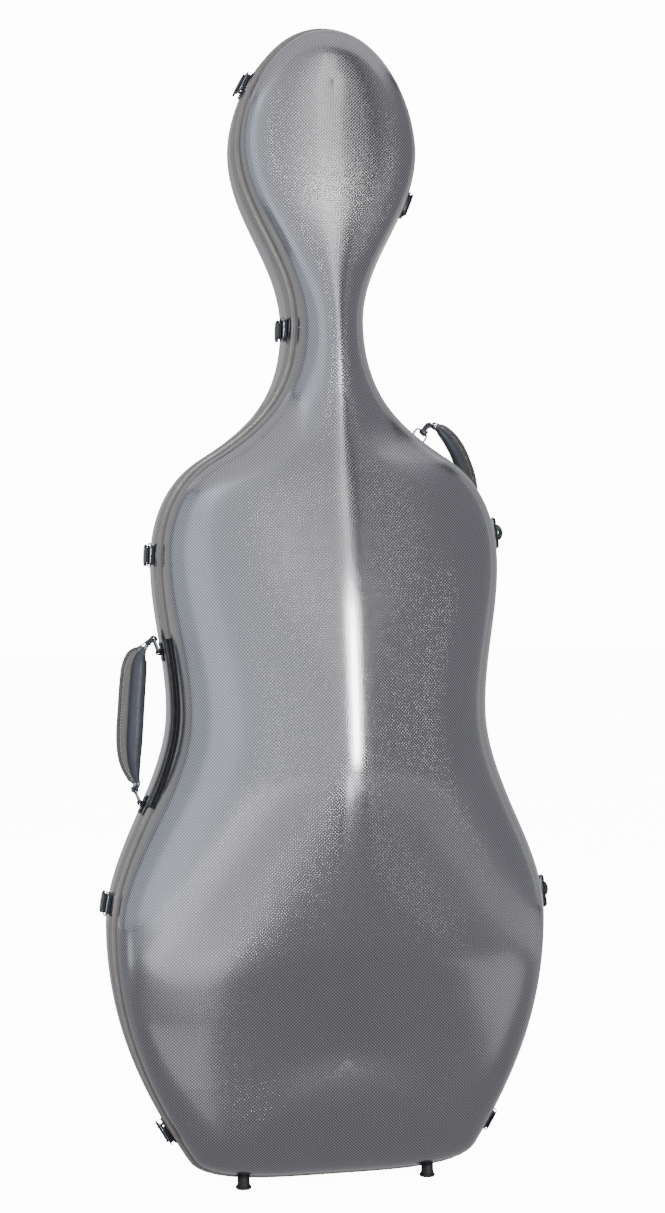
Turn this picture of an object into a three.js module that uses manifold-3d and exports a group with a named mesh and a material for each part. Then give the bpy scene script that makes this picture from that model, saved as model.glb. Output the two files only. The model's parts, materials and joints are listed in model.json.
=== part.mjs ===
import * as THREE from "three";
import { mergeVertices } from "three/addons/utils/BufferGeometryUtils.js";
import Module from "manifold-3d";

const wasm = await Module();
wasm.setup();

// Half outline of the case from the crown to the bottom: [x, z, handle in, handle out], and its headings
const outlineKnots = [
  [0, 1334, 0, 68],
  [108, 1194.3, 54.1, 76.2],
  [43.1, 994.4, 74.4, 77.6],
  [142.6, 837.3, 75.6, 50.8],
  [202.3, 716, 49.2, 59.5],
  [184.6, 546.1, 60.9, 84.7],
  [257.8, 299.4, 86.5, 109.8],
  [170.6, 33.8, 90.7, 33],
  [0, 8, 70, 0],
];
const knotAngles = [0, -90, -90, -31.9, -90, -90, -90, -122.7, -180];
const spanCounts = [4, 5, 5, 3, 4, 5, 5, 4];
const fittingCounts = spanCounts.map((count) => count * 8);
const [crownKnot, headKnot, , , , , lowerKnot, , bottomKnot] = outlineKnots;

// Depth of each half along its spine: [z, depth]
const lidDepths = [
  [153, 70], [183, 80], [230, 92], [276, 106], [370, 123], [463, 137], [509, 138],
  [602, 131], [695, 119], [788, 101], [881, 81], [974, 72], [1067, 60], [1194, 56], [1264, 52],
];
const baseDepths = [
  [153, 138], [300, 150], [700, 150], [790, 141], [880, 122], [1000, 105], [1194, 104], [1264, 98],
];
const basePower = 2.7;
// Section of the lid at heights of its spine: powers of the curve and shares of the centre ridge
const sectionHeights = [153, 340, 880, 994, 1120, 1264];
const sectionPowers = [3.3, 3.3, 3.2, 3, 4, 4];
const ridgeShares = [0.1, 0.32, 0.3, 0.2, 0.08, 0.08];
const lidSections = sectionHeights.map((z, index) => [z, sectionPowers[index], ridgeShares[index]]);
const ridgeCap = 22;
const rowPower = 3;
const outerAngles = [0, 4, 24, 48, 70, 90];
const innerAngles = [0, 24, 48, 70, 90];
const liningAngles = [0, 48, 90];

// Walls, rims and linings
const wall = 3;
const fit = 0.3;
const rimGap = 1.3;
const flangeHeight = 13.5;
const ledge = 5;
const baseRimHeight = 14;
const tongueInset = 3.5;
const tongueThickness = 2.5;
const tongueRise = 8;
const liningThickness = 5;

// Seats of the side handle's anchors; the latches beside the handle keep their distance from them
const sideAnchorHeights = { upper: 614, lower: 439 };
const latchDistance = 111;

// Latches: [name, side, z] of their centres on the seam
const latchPlaces = [
  ["head_left", -1, 1267], ["head_right", 1, 1137], ["neck_left", -1, 986],
  ["upper_left", -1, sideAnchorHeights.upper + latchDistance],
  ["lower_left", -1, sideAnchorHeights.lower - latchDistance],
  ["bottom_left", -1, 66], ["bottom_right", 1, 60],
];
const latchPivot = { y: 8, out: 6 };
const latchThrow = 5;
const linkReach = 21;
const linkWire = 1;
const linkHalfWidth = 12.8;
const leverHalfWidth = 8.6;
const leverThickness = 4.8;
const leverTail = { start: 12, end: 26, halfWidth: 12.6, thickness: 2.4 };
const latchPin = 1.3;
const latchPlate = { start: 3, end: 31, halfWidth: 11, thickness: 1.5 };
const latchEar = { radius: 3.6, thickness: 1.5 };
const keeperPlate = { start: 2.2, end: 12.6, halfWidth: 12, thickness: 1.6 };
const keeperRib = { start: 3, end: 6.5, halfWidth: 10.5, height: 6.6 };
const plateDepth = 5;

// Hinges: heights of their centres on the slanted hinge axis
const hingeHigh = { x: 204.5, z: 750 };
const hingeLow = { x: 260.5, z: 325 };
const hingeLength = 35;
const hingeBarrel = 3.2;
const hingePin = 1.4;
const hingeHead = { radius: 2.5, height: 1.4 };
const hingePlay = 0.4;
const knuckleShare = 0.32;
const leafTop = 2.6;
const leafDepth = 9;
const leafStart = 2.5;
const baseLeafEnd = 25;
const lidLeafEnd = 13;
const bumperRadius = 10;
const bumperDepth = 14;
const bumperReaches = { upper: 14, lower: 11 };

// Feet under the narrow end on which the case stands
const footX = 109;
const lidFootY = -20;
const baseFootY = 70;
const footProfile = [[0, 0], [8.4, 0], [9.2, 0.8], [9.2, 3], [7.6, 4.2], [6.6, 34], [0, 34]];

// Handle hardware: anchors on the base wall, wire rings in their lugs and leather loops round the rings
const anchorRise = 4.4;
const anchorLug = { wall: 1.7, length: 8 };
const anchorPlate = { length: 22, width: 18, thickness: 1.6 };
const wireRadius = 1.5;
const handleRing = { halfWidth: 7.6, reach: 16.5, corner: 2.4, seam: 0.6 };
const ringPlays = { side: 0.3, shoulder: 0.9 };
const gripLoop = { wall: 2.6, halfLength: 4, width: 6, depth: 8 };
// Section of a grip, a roll on the case side and a sewn flap outside: [across, deep] of its width and depth
const gripSectionShares = [
  [-0.5, 0.16], [-0.34, 0.44], [-0.1, 0.46], [0.14, 0.2], [0.5, 0.12],
  [0.5, -0.12], [0.14, -0.2], [-0.1, -0.46], [-0.34, -0.44], [-0.5, -0.16],
];

// Side handle: depth, lean of its rings from upright and grip stations between the two rings:
// [share of the way down, distance outwards, width, depth]
const sideHandleY = 22;
const ringLean = 21;
const sideGrip = [
  [0.025, 5.5, 6.6, 9], [0.055, 9.2, 7.4, 10.5], [0.085, 12.6, 14, 14], [0.121, 16.1, 23.4, 19],
  [0.155, 17.6, 27.3, 22], [0.223, 18.3, 30.5, 25], [0.474, 16, 31.4, 26], [0.684, 13.3, 30.8, 26],
  [0.812, 9.9, 25.8, 22], [0.908, 4.1, 17, 16], [0.961, -1, 8, 10.5],
];

// Shoulder handle at the hinge side, bending round the shoulder towards the back: places are [x, y, z]
const shoulderAnchors = { upper: { y: 25, z: 856.5 }, lower: { y: 95, z: 737 } };
const shoulderWayShares = { upper: [0.59, 0.43, 0.68], lower: [0.9, 0.43, 0] };
const shoulderGrip = [
  [130.5, 35.5, 876.5, 6.5, 8], [137.5, 36.5, 879.8, 7, 9], [145, 36.5, 877.8, 9, 10],
  [151, 36.5, 874, 14.4, 14], [160, 39, 866, 18, 17], [172, 46, 852, 20.4, 19],
  [181.6, 55.5, 837.4, 21.2, 20], [192.5, 68.5, 818.5, 21, 20], [201, 83, 793, 19.5, 18],
  [205.5, 94.5, 769, 15, 15], [206.8, 100, 757, 9, 10], [206.5, 104.5, 748, 7, 8],
];

// Dark guard strip on the lid flange: its reach past the side handle's anchors at the seam and at the lip
const guardReach = { seam: { above: 26, below: 11 }, lip: { above: 15, below: 1 } };
const guardThickness = 1.2;

// Fittings inside for the instrument
const cradle = { bottom: 925, top: 965, front: 22, notchRadius: 23, notchSides: 20 };
const strap = { bottom: 932, top: 957, halfSpan: 35, rise: 9, thickness: 2, foot: 7 };
const endPad = { top: 74, front: 26 };

const roundSides = 12;
const pinSides = 8;
const slimRadius = 1.8;
const wireSides = 6;
const bendSteps = 4;
const hardGrey = { color: 0x8f959c, roughness: 0.32, metalness: 0.15 };
const darkMetal = { color: 0x3a3c40, roughness: 0.4, metalness: 0.9 };
const brightMetal = { color: 0xc9ccd0, roughness: 0.22, metalness: 1 };
const blackRubber = { color: 0x17181a, roughness: 0.75, metalness: 0 };
const blackPlush = { color: 0x1f2024, roughness: 0.95, metalness: 0 };
const greyLeather = { color: 0x3d3a3a, roughness: 0.6, metalness: 0 };

const object = new THREE.Group();

// One named mesh with a material of its own
function addPiece(parent, name, geometry, finish) {
  const mesh = new THREE.Mesh(geometry, new THREE.MeshStandardMaterial(finish));
  mesh.name = name;
  parent.add(mesh);
  return mesh;
}

// Closed geometries to solids and back
function toSolid(geometry, matrix = new THREE.Matrix4()) {
  const bare = geometry.clone().applyMatrix4(matrix);
  bare.deleteAttribute("normal");
  bare.deleteAttribute("uv");
  const merged = mergeVertices(bare, fit / 1000);
  const mesh = new wasm.Mesh({
    numProp: 3,
    vertProperties: new Float32Array(merged.attributes.position.array),
    triVerts: new Uint32Array(merged.index.array),
  });
  return new wasm.Manifold(mesh);
}

function toGeometry(solid) {
  const mesh = solid.getMesh();
  const geometry = new THREE.BufferGeometry();
  geometry.setAttribute("position", new THREE.BufferAttribute(new Float32Array(mesh.vertProperties), 3));
  geometry.setIndex(new THREE.BufferAttribute(new Uint32Array(mesh.triVerts), 1));
  geometry.computeVertexNormals();
  return geometry;
}

function join(...solids) {
  return solids.reduce((whole, solid) => whole.add(solid));
}

// Box between two corners
function block(low, high, matrix) {
  const size = high.map((value, axis) => value - low[axis]);
  const centre = high.map((value, axis) => (value + low[axis]) / 2);
  return toSolid(new THREE.BoxGeometry(...size).translate(...centre), matrix);
}

// Cylinder along Z between two heights
function rod(radius, bottom, top, x = 0, y = 0, matrix = undefined) {
  const sides = radius < slimRadius ? pinSides : roundSides;
  const shape = new THREE.CylinderGeometry(radius, radius, top - bottom, sides);
  return toSolid(shape.rotateX(Math.PI / 2).translate(x, y, (top + bottom) / 2), matrix);
}

// Surface through rings of equal length; it closes on itself or has capped or folded ends
function loft(rings, { loop = false, caps = false } = {}) {
  const count = rings[0].length;
  const points = rings.flat();
  const faces = [];
  const bands = loop ? rings.length : rings.length - 1;
  const girths = rings.map((ring) => ring.reduce((sum, point) => sum + Math.abs(point.x), 0));
  for (let band = 0; band < bands; band++) {
    const next = (band + 1) % rings.length;
    for (let column = 0; column < count; column++) {
      const beside = (column + 1) % count;
      const [a, b] = [band * count + column, band * count + beside];
      const [c, d] = [next * count + beside, next * count + column];
      faces.push(...(girths[next] < girths[band] ? [a, b, d, b, c, d] : [a, b, c, a, c, d]));
    }
  }
  if (caps) {
    const last = (rings.length - 1) * count;
    for (let column = 1; column < count - 1; column++) {
      faces.push(0, column + 1, column);
      faces.push(last, last + column, last + column + 1);
    }
  }
  const geometry = new THREE.BufferGeometry().setFromPoints(points);
  geometry.setIndex(signedVolume(points, faces) < 0 ? faces.reverse() : faces);
  const merged = mergeVertices(geometry, fit / 1000);
  merged.computeVertexNormals();
  return merged;
}

function signedVolume(points, faces) {
  let volume = 0;
  for (let corner = 0; corner < faces.length; corner += 3) {
    const [a, b, c] = faces.slice(corner, corner + 3).map((index) => points[index]);
    volume += a.dot(b.clone().cross(c)) / 6;
  }
  return volume;
}

// Smooth value at a height from a table of rows [z, value, value, ...]
function stationValue(rows, z, field = 1) {
  const last = rows.length - 1;
  if (z <= rows[0][0]) return rows[0][field];
  if (z >= rows[last][0]) return rows[last][field];
  const index = rows.findIndex((row) => row[0] > z) - 1;
  const [before, low, high, after] = [index - 1, index, index + 1, index + 2].map(
    (place) => rows[Math.min(Math.max(place, 0), last)],
  );
  const span = high[0] - low[0];
  const share = (z - low[0]) / span;
  const lowSlope = ((high[field] - before[field]) / (high[0] - before[0])) * span;
  const highSlope = ((after[field] - low[field]) / (after[0] - low[0])) * span;
  const rise = high[field] - low[field];
  const bend = share * share * (3 - 2 * share);
  const leave = share * (1 - share) * (1 - share) * lowSlope;
  const arrive = share * share * (share - 1) * highSlope;
  return low[field] + bend * rise + leave + arrive;
}

// Half outline as points with outward normals, in so many steps on each span
function halfOutline(counts) {
  const columns = [];
  outlineKnots.slice(0, -1).forEach((knot, span) => {
    const next = outlineKnots[span + 1];
    const headings = [knotAngles[span], knotAngles[span + 1]].map(THREE.MathUtils.degToRad);
    const start = new THREE.Vector2(knot[0], knot[1]);
    const end = new THREE.Vector2(next[0], next[1]);
    const leave = new THREE.Vector2(Math.cos(headings[0]), Math.sin(headings[0])).multiplyScalar(knot[3]);
    const arrive = new THREE.Vector2(Math.cos(headings[1]), Math.sin(headings[1])).multiplyScalar(next[2]);
    const curve = new THREE.CubicBezierCurve(start, start.clone().add(leave), end.clone().sub(arrive), end);
    const isLast = span === counts.length - 1;
    for (let step = 0; step < counts[span] + (isLast ? 1 : 0); step++) {
      const point = curve.getPoint(step / counts[span]);
      const tangent = curve.getTangent(step / counts[span]);
      columns.push({ x: point.x, z: point.y, nx: -tangent.y, nz: tangent.x });
    }
  });
  columns[0].x = 0;
  columns[columns.length - 1].x = 0;
  return columns;
}

const half = halfOutline(spanCounts);
const fittingLine = halfOutline(fittingCounts);
const mirrored = half.slice(1, -1).reverse().map((column) => ({ ...column, x: -column.x, nx: -column.nx }));
const columns = [...half, ...mirrored];

// Height on the spine from which the rib to an outline point starts
function spineHeight(z) {
  const headZ = headKnot[1];
  const lowerZ = lowerKnot[1];
  const crownReach = crownKnot[1] - headZ;
  const bottomReach = lowerZ - bottomKnot[1];
  if (z > headZ) return z - (z - headZ) ** 2 / (2 * crownReach);
  if (z < lowerZ) return z + (lowerZ - z) ** 2 / (2 * bottomReach);
  return z;
}

// Rise of a rib's section from its rim, 0, to the spine, 1
function ribRise(side, z, share, length) {
  if (side > 0) return (1 - share ** basePower) ** (1 / basePower);
  const power = stationValue(lidSections, z, 1);
  const ridge = stationValue(lidSections, z, 2);
  const cap = Math.min(ridgeCap / length, 1);
  const peak = 1 - cap / 2;
  const slope = share < cap ? peak - share ** 2 / (2 * cap) : 1 - share;
  return (1 - ridge) * (1 - share ** power) ** (1 / power) + (ridge * slope) / peak;
}

// Rings of a skin set in from the outside by an inset and lowered by a drop
function skinRings(side, inset, rim, drop, angles) {
  const depths = side > 0 ? baseDepths : lidDepths;
  return angles.map((angle) => columns.map((column) => {
    const share = Math.sin(THREE.MathUtils.degToRad(angle)) ** (2 / rowPower);
    const spine = spineHeight(column.z);
    const edgeX = column.x - column.nx * inset;
    const edgeZ = column.z - column.nz * inset;
    const length = Math.hypot(edgeX, edgeZ - spine);
    const rise = angle === 90 ? 0 : ribRise(side, spine, share, length);
    const depth = rim + (stationValue(depths, spine) - drop - rim) * rise;
    return new THREE.Vector3(edgeX * share, side * depth, spine + (edgeZ - spine) * share);
  }));
}

// Ring along the outline at one inset and depth
function rimRing(inset, y) {
  return columns.map((column) => (
    new THREE.Vector3(column.x - column.nx * inset, y, column.z - column.nz * inset)
  ));
}

function spineRing(y) {
  return columns.map((column) => new THREE.Vector3(0, y, spineHeight(column.z)));
}

// Solid that fills one half up to its outside, grown by the fit, and up to the parting plane
const baseKeepOut = toSolid(loft([
  ...skinRings(1, -fit, baseRimHeight, -fit, outerAngles), rimRing(-fit, rimGap - fit),
  spineRing(rimGap - fit),
]));
const lidKeepOut = toSolid(loft([
  ...skinRings(-1, ledge - fit, flangeHeight + fit, -fit, outerAngles),
  rimRing(-fit, -flangeHeight - fit), rimRing(-fit, fit - rimGap), spineRing(fit - rimGap),
]));

// Shells, locating tongue, seal and linings
addPiece(object, "base_shell", loft([
  ...skinRings(1, 0, baseRimHeight, 0, outerAngles), rimRing(0, rimGap), rimRing(wall, rimGap),
  ...skinRings(1, wall, baseRimHeight, wall, innerAngles).reverse(),
]), hardGrey);
addPiece(object, "lid_shell", loft([
  ...skinRings(-1, ledge, flangeHeight, 0, outerAngles), rimRing(0, -flangeHeight), rimRing(0, -rimGap),
  rimRing(wall, -rimGap), rimRing(wall, wall - flangeHeight),
  ...skinRings(-1, ledge + wall, flangeHeight - wall, wall, innerAngles).reverse(),
]), hardGrey);
const tongueEnd = baseRimHeight - 2 * fit;
addPiece(object, "base_tongue", loft([
  rimRing(tongueInset, -tongueRise), rimRing(tongueInset + tongueThickness, -tongueRise),
  rimRing(tongueInset + tongueThickness, tongueEnd), rimRing(tongueInset, tongueEnd),
], { loop: true }), brightMetal);
const sealY = rimGap - fit;
addPiece(object, "rim_seal", loft([
  rimRing(fit, -sealY), rimRing(wall, -sealY), rimRing(wall, sealY), rimRing(fit, sealY),
], { loop: true }), blackRubber);
const baseLiningInset = wall + fit;
const liningDrop = wall + fit;

function addLining(name, side, inset, rim) {
  const [outer, inner] = [0, liningThickness].map((depth) => (
    skinRings(side, inset + depth, rim, liningDrop + depth, liningAngles)
  ));
  addPiece(object, name, loft([...outer, ...inner.reverse()]), blackPlush);
}

addLining("base_lining", 1, baseLiningInset, baseRimHeight);
addLining("lid_lining", -1, ledge + baseLiningInset, flangeHeight - wall);

// Point and normal of the half outline at a height
function outlineAt(z, line = fittingLine) {
  const index = line.findIndex((column) => column.z < z);
  const [above, below] = [line[index - 1], line[index]];
  const share = (above.z - z) / (above.z - below.z);
  const mix = (key) => above[key] + (below[key] - above[key]) * share;
  const length = Math.hypot(mix("nx"), mix("nz"));
  return { x: mix("x"), z, nx: mix("nx") / length, nz: mix("nz") / length };
}

// Guard strip along the flange between two heights of the left outline
const [guardSeam, guardLip] = [guardReach.seam, guardReach.lip].map(({ above, below }) => (
  { top: sideAnchorHeights.upper + above, bottom: sideAnchorHeights.lower - below }
));
const guardInner = half.filter((column) => column.z < guardLip.top && column.z > guardLip.bottom);
const guardColumns = [
  [outlineAt(guardSeam.top, half), outlineAt(guardLip.top, half)],
  ...guardInner.map((column) => [column, column]),
  [outlineAt(guardSeam.bottom, half), outlineAt(guardLip.bottom, half)],
];
addPiece(object, "waist_guard", loft(guardColumns.map(([seamColumn, lipColumn]) => {
  const corner = (column, out, y) => (
    new THREE.Vector3(-column.x - column.nx * out, y, column.z + column.nz * out)
  );
  const outer = fit + guardThickness;
  const seamY = -rimGap - guardThickness;
  const lipY = guardThickness / 2 - flangeHeight;
  return [
    corner(seamColumn, fit, seamY), corner(seamColumn, outer, seamY),
    corner(lipColumn, outer, lipY), corner(lipColumn, fit, lipY),
  ];
}), { caps: true }), blackRubber);

// Frame whose X points out of the outline and whose Z runs along it
function seamFrame(side, z) {
  const near = outlineAt(z);
  const out = new THREE.Vector3(side * near.nx, 0, near.nz);
  const lift = Math.max(...[-1, 0, 1].map((end) => {
    const beside = outlineAt(z + end * keeperPlate.halfWidth * near.nx, half);
    return (beside.x - near.x) * near.nx + (beside.z - z) * near.nz;
  }), 0);
  const frame = new THREE.Group();
  frame.position.set(side * near.x, 0, z).addScaledVector(out, lift);
  frame.rotation.y = -Math.atan2(out.z, out.x);
  frame.updateMatrixWorld();
  object.add(frame);
  return frame;
}

// A solid made in world coordinates, returned to the frame in which it is placed
function inFrame(solid, frame) {
  return toGeometry(solid).applyMatrix4(frame.matrixWorld.clone().invert());
}

// Tube with a round section along points in space
function wire(points, radius, steps) {
  const corners = Array.from({ length: wireSides }, (_, corner) => {
    const turn = (2 * Math.PI * corner) / wireSides;
    return new THREE.Vector2(radius * Math.cos(turn), radius * Math.sin(turn));
  });
  const path = new THREE.CatmullRomCurve3(points, false, "centripetal");
  return new THREE.ExtrudeGeometry(new THREE.Shape(corners), { steps, extrudePath: path });
}

// Places along a wire bent to a rectangle, from an end on its first bar round to the other end
function wireLoop(end, halfWidth, reach, corner, placeAt) {
  const side = [
    [end, 0], [halfWidth - corner, 0], [halfWidth - corner / 3, corner / 3], [halfWidth, corner],
    [halfWidth, reach - corner], [halfWidth - corner / 3, reach - corner / 3], [halfWidth - corner, reach],
  ];
  return [
    ...side.map(([along, across]) => placeAt(-along, across)),
    placeAt(0, reach),
    ...side.reverse().map(([along, across]) => placeAt(along, across)),
  ];
}

// Over-centre draw latch in its own frame: X outwards, Y towards the base, Z along the seam
function addLatch(name, side, z) {
  const frame = seamFrame(side, z);
  const { y: pivotY, out: pivotOut } = latchPivot;
  const earInner = leverHalfWidth + fit * 2;
  const plate = block(
    [-plateDepth, latchPlate.start, -latchPlate.halfWidth],
    [latchPlate.thickness, latchPlate.end, latchPlate.halfWidth],
  );
  const ears = [-earInner - latchEar.thickness, earInner].map((start) => {
    const end = start + latchEar.thickness;
    return join(
      rod(latchEar.radius, start, end, pivotOut, pivotY),
      block([0, pivotY - latchEar.radius, start], [pivotOut, pivotY + latchEar.radius, end]),
    );
  });
  const earHole = rod(latchPin + fit, -linkHalfWidth, linkHalfWidth, pivotOut, pivotY);
  const bracket = join(plate, ...ears).subtract(earHole).transform(frame.matrixWorld.elements);
  addPiece(frame, `${name}_latch_bracket`, inFrame(bracket.subtract(baseKeepOut), frame), darkMetal);

  const leverHub = rod(leverThickness / 2, -leverHalfWidth, leverHalfWidth);
  const leverBar = block(
    [-leverThickness / 2, 0, -leverHalfWidth],
    [leverThickness / 2, latchThrow + linkWire + 2 * fit, leverHalfWidth],
  );
  const tailShape = new THREE.Shape();
  tailShape.moveTo(0, -leverHalfWidth);
  tailShape.lineTo(leverTail.start, -leverHalfWidth);
  tailShape.lineTo(leverTail.start, -leverTail.halfWidth);
  tailShape.lineTo(leverTail.start + latchThrow, -leverTail.halfWidth);
  tailShape.quadraticCurveTo(leverTail.end, -leverTail.halfWidth, leverTail.end, 0);
  tailShape.quadraticCurveTo(
    leverTail.end, leverTail.halfWidth, leverTail.start + latchThrow, leverTail.halfWidth,
  );
  tailShape.lineTo(leverTail.start, leverTail.halfWidth);
  tailShape.lineTo(leverTail.start, leverHalfWidth);
  tailShape.lineTo(0, leverHalfWidth);
  const tailPlate = new THREE.ExtrudeGeometry(tailShape, {
    depth: leverTail.thickness, bevelEnabled: false, curveSegments: 3,
  });
  const tailTurn = new THREE.Matrix4().makeBasis(
    new THREE.Vector3(0, 1, 0), new THREE.Vector3(0, 0, 1), new THREE.Vector3(1, 0, 0),
  );
  const pin = rod(latchPin, -earInner - latchEar.thickness, earInner + latchEar.thickness);
  const linkHole = rod(linkWire + fit, -linkHalfWidth, linkHalfWidth, 0, latchThrow);
  const lever = join(leverHub, leverBar, toSolid(tailPlate, tailTurn), pin).subtract(linkHole);
  addPiece(frame, `${name}_latch_lever`, toGeometry(lever), brightMetal).position.set(pivotOut, pivotY, 0);

  const eye = leverHalfWidth / 2;
  const corner = linkWire * 2;
  const linkPath = wireLoop(eye, linkHalfWidth, linkReach, corner, (along, across) => (
    new THREE.Vector3(0, -across, along)
  ));
  const link = wire(linkPath, linkWire, linkPath.length + bendSteps);
  addPiece(frame, `${name}_latch_link`, link, brightMetal).position.set(pivotOut, pivotY + latchThrow, 0);

  const keeperBase = block(
    [-plateDepth, -keeperPlate.end, -keeperPlate.halfWidth],
    [keeperPlate.thickness, -keeperPlate.start, keeperPlate.halfWidth],
  );
  const keeperLip = block(
    [0, -keeperRib.end, -keeperRib.halfWidth],
    [keeperRib.height, -keeperRib.start, keeperRib.halfWidth],
  );
  const keeper = join(keeperBase, keeperLip).transform(frame.matrixWorld.elements).subtract(lidKeepOut);
  addPiece(frame, `${name}_latch_keeper`, inFrame(keeper, frame), darkMetal);
}

latchPlaces.forEach(([name, side, z]) => addLatch(name, side, z));

// Butt hinge on the slanted axis, with a dome bumper on its base leaf
const hingeAxis = new THREE.Vector3(hingeHigh.x - hingeLow.x, 0, hingeHigh.z - hingeLow.z).normalize();

function addHinge(name, centre) {
  const frame = new THREE.Group();
  frame.position.set(centre.x, 0, centre.z);
  frame.rotation.y = Math.atan2(hingeAxis.x, hingeAxis.z);
  frame.updateMatrixWorld();
  object.add(frame);
  const end = hingeLength / 2;
  const inner = end - hingeLength * knuckleShare;
  const bore = rod(hingePin + fit, -hingeLength, hingeLength);
  const knuckle = (low, high, side) => join(
    rod(hingeBarrel, low, high),
    block([-hingeBarrel - leafTop, Math.min(side * rimGap, side * leafStart * 2), low],
      [-hingePin, Math.max(side * rimGap, side * leafStart * 2), high]),
  );
  const baseLeaf = join(
    block([-leafDepth, leafStart, -end], [-leafTop, baseLeafEnd, end]),
    knuckle(-end, -inner - hingePlay, 1), knuckle(inner + hingePlay, end, 1),
  ).subtract(bore).transform(frame.matrixWorld.elements).subtract(baseKeepOut);
  addPiece(frame, `${name}_hinge_base_leaf`, inFrame(baseLeaf, frame), darkMetal);
  const lidLeaf = join(
    block([-leafDepth, -lidLeafEnd, -end], [-leafTop, -leafStart, end]), knuckle(-inner, inner, -1),
  ).subtract(bore).transform(frame.matrixWorld.elements).subtract(lidKeepOut);
  addPiece(frame, `${name}_hinge_lid_leaf`, inFrame(lidLeaf, frame), darkMetal);
  const top = end + hingeHead.height + fit;
  const pinProfile = [
    [0, -top], [hingeHead.radius, -top], [hingeHead.radius, -end - fit], [hingePin, -end - fit],
    [hingePin, end + fit], [hingeHead.radius, end + fit], [hingeHead.radius, top], [0, top],
  ].map((point) => new THREE.Vector2(...point));
  const pin = new THREE.LatheGeometry(pinProfile, roundSides).rotateX(Math.PI / 2);
  addPiece(frame, `${name}_hinge_pin`, pin, brightMetal);
  const reach = bumperReaches[name];
  const foot = fit - leafTop;
  const bumperProfile = [[0, foot], [bumperRadius, foot], [bumperRadius, reach - bumperRadius / 2]];
  for (const angle of [30, 60, 90]) {
    const turn = THREE.MathUtils.degToRad(angle);
    bumperProfile.push([bumperRadius * Math.cos(turn), reach - (bumperRadius / 2) * (1 - Math.sin(turn))]);
  }
  bumperProfile[bumperProfile.length - 1][0] = 0;
  const domePoints = bumperProfile.map((point) => new THREE.Vector2(...point));
  const dome = new THREE.LatheGeometry(domePoints, roundSides).rotateZ(-Math.PI / 2);
  addPiece(frame, `${name}_bumper`, dome, darkMetal).position.set(0, bumperDepth, 0);
}

addHinge("upper", hingeHigh);
addHinge("lower", hingeLow);

// Tapered feet, cut to the curve of the bottom
function addFoot(name, x, y, keepOut) {
  const profile = footProfile.map((point) => new THREE.Vector2(...point));
  const cone = new THREE.LatheGeometry(profile, roundSides).rotateX(Math.PI / 2);
  const solid = toSolid(cone, new THREE.Matrix4().makeTranslation(x, y, 0)).subtract(keepOut);
  const parts = solid.decompose().sort((a, b) => a.boundingBox().min[2] - b.boundingBox().min[2]);
  addPiece(object, name, toGeometry(parts[0]).translate(-x, -y, 0), blackRubber).position.set(x, y, 0);
}

addFoot("lid_foot_left", -footX, lidFootY, lidKeepOut);
addFoot("lid_foot_right", footX, lidFootY, lidKeepOut);
addFoot("base_foot_left", -footX, baseFootY, baseKeepOut);
addFoot("base_foot_right", footX, baseFootY, baseKeepOut);

// Point and outward normal on the outside of the base at a height and depth
function baseWall(side, y, z) {
  const near = outlineAt(z);
  const reach = stationValue(baseDepths, z) - baseRimHeight;
  const share = Math.max(y - baseRimHeight, 0) / reach;
  const width = (1 - share ** basePower) ** (1 / basePower);
  const lean = share ** (basePower - 1) / (width ** (basePower - 1)) * (near.x / reach);
  const normal = new THREE.Vector3(side * near.nx, lean * near.nx, near.nz).normalize();
  return { point: new THREE.Vector3(side * near.x * width, y, z), normal };
}

// Centre of an anchor's bore above its seat
function boreCentre(seat) {
  return seat.point.clone().addScaledVector(seat.normal, anchorRise);
}

// Frame at a place with its third axis along a way and its first towards another
function barFrame(place, way, towards) {
  const across = new THREE.Vector3().crossVectors(way, towards).normalize();
  return new THREE.Matrix4().makeBasis(across.clone().cross(way), across, way).setPosition(place);
}

// Handle anchor: a plate on the wall and a lug bored along the ring's bar
function addAnchor(name, seat, bar, bore) {
  const hole = boreCentre(seat);
  const lugRadius = bore + anchorLug.wall;
  const plateFrame = barFrame(seat.point, bar, seat.normal);
  const lugFrame = barFrame(hole, bar, seat.normal);
  const plate = block(
    [-plateDepth, -anchorPlate.length / 2, -anchorPlate.width / 2],
    [anchorPlate.thickness, anchorPlate.length / 2, anchorPlate.width / 2], plateFrame,
  );
  const lug = rod(lugRadius, -anchorLug.length / 2, anchorLug.length / 2, 0, 0, lugFrame);
  const stem = block(
    [-anchorRise - plateDepth, -lugRadius, -anchorLug.length / 2],
    [0, lugRadius, anchorLug.length / 2], lugFrame,
  );
  const hollow = rod(bore, -anchorLug.length, anchorLug.length, 0, 0, lugFrame);
  const solid = join(plate, stem, lug).subtract(hollow).subtract(baseKeepOut);
  const geometry = toGeometry(solid).translate(...hole.clone().negate().toArray());
  addPiece(object, name, geometry, darkMetal).position.copy(hole);
}

// Wire ring from its bar in the lug to its bar in the leather, and the frame of that outer bar
function addRing(name, hole, bar, way) {
  const { halfWidth, reach, corner, seam } = handleRing;
  const path = wireLoop(seam / 2, halfWidth, reach, corner, (along, across) => (
    hole.clone().addScaledVector(bar, along).addScaledVector(way, across)
  ));
  const ring = wire(path, wireRadius, path.length + bendSteps);
  ring.translate(...hole.clone().negate().toArray());
  addPiece(object, name, ring, brightMetal).position.copy(hole);
  return barFrame(hole.clone().addScaledVector(way, reach), bar, way);
}

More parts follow.
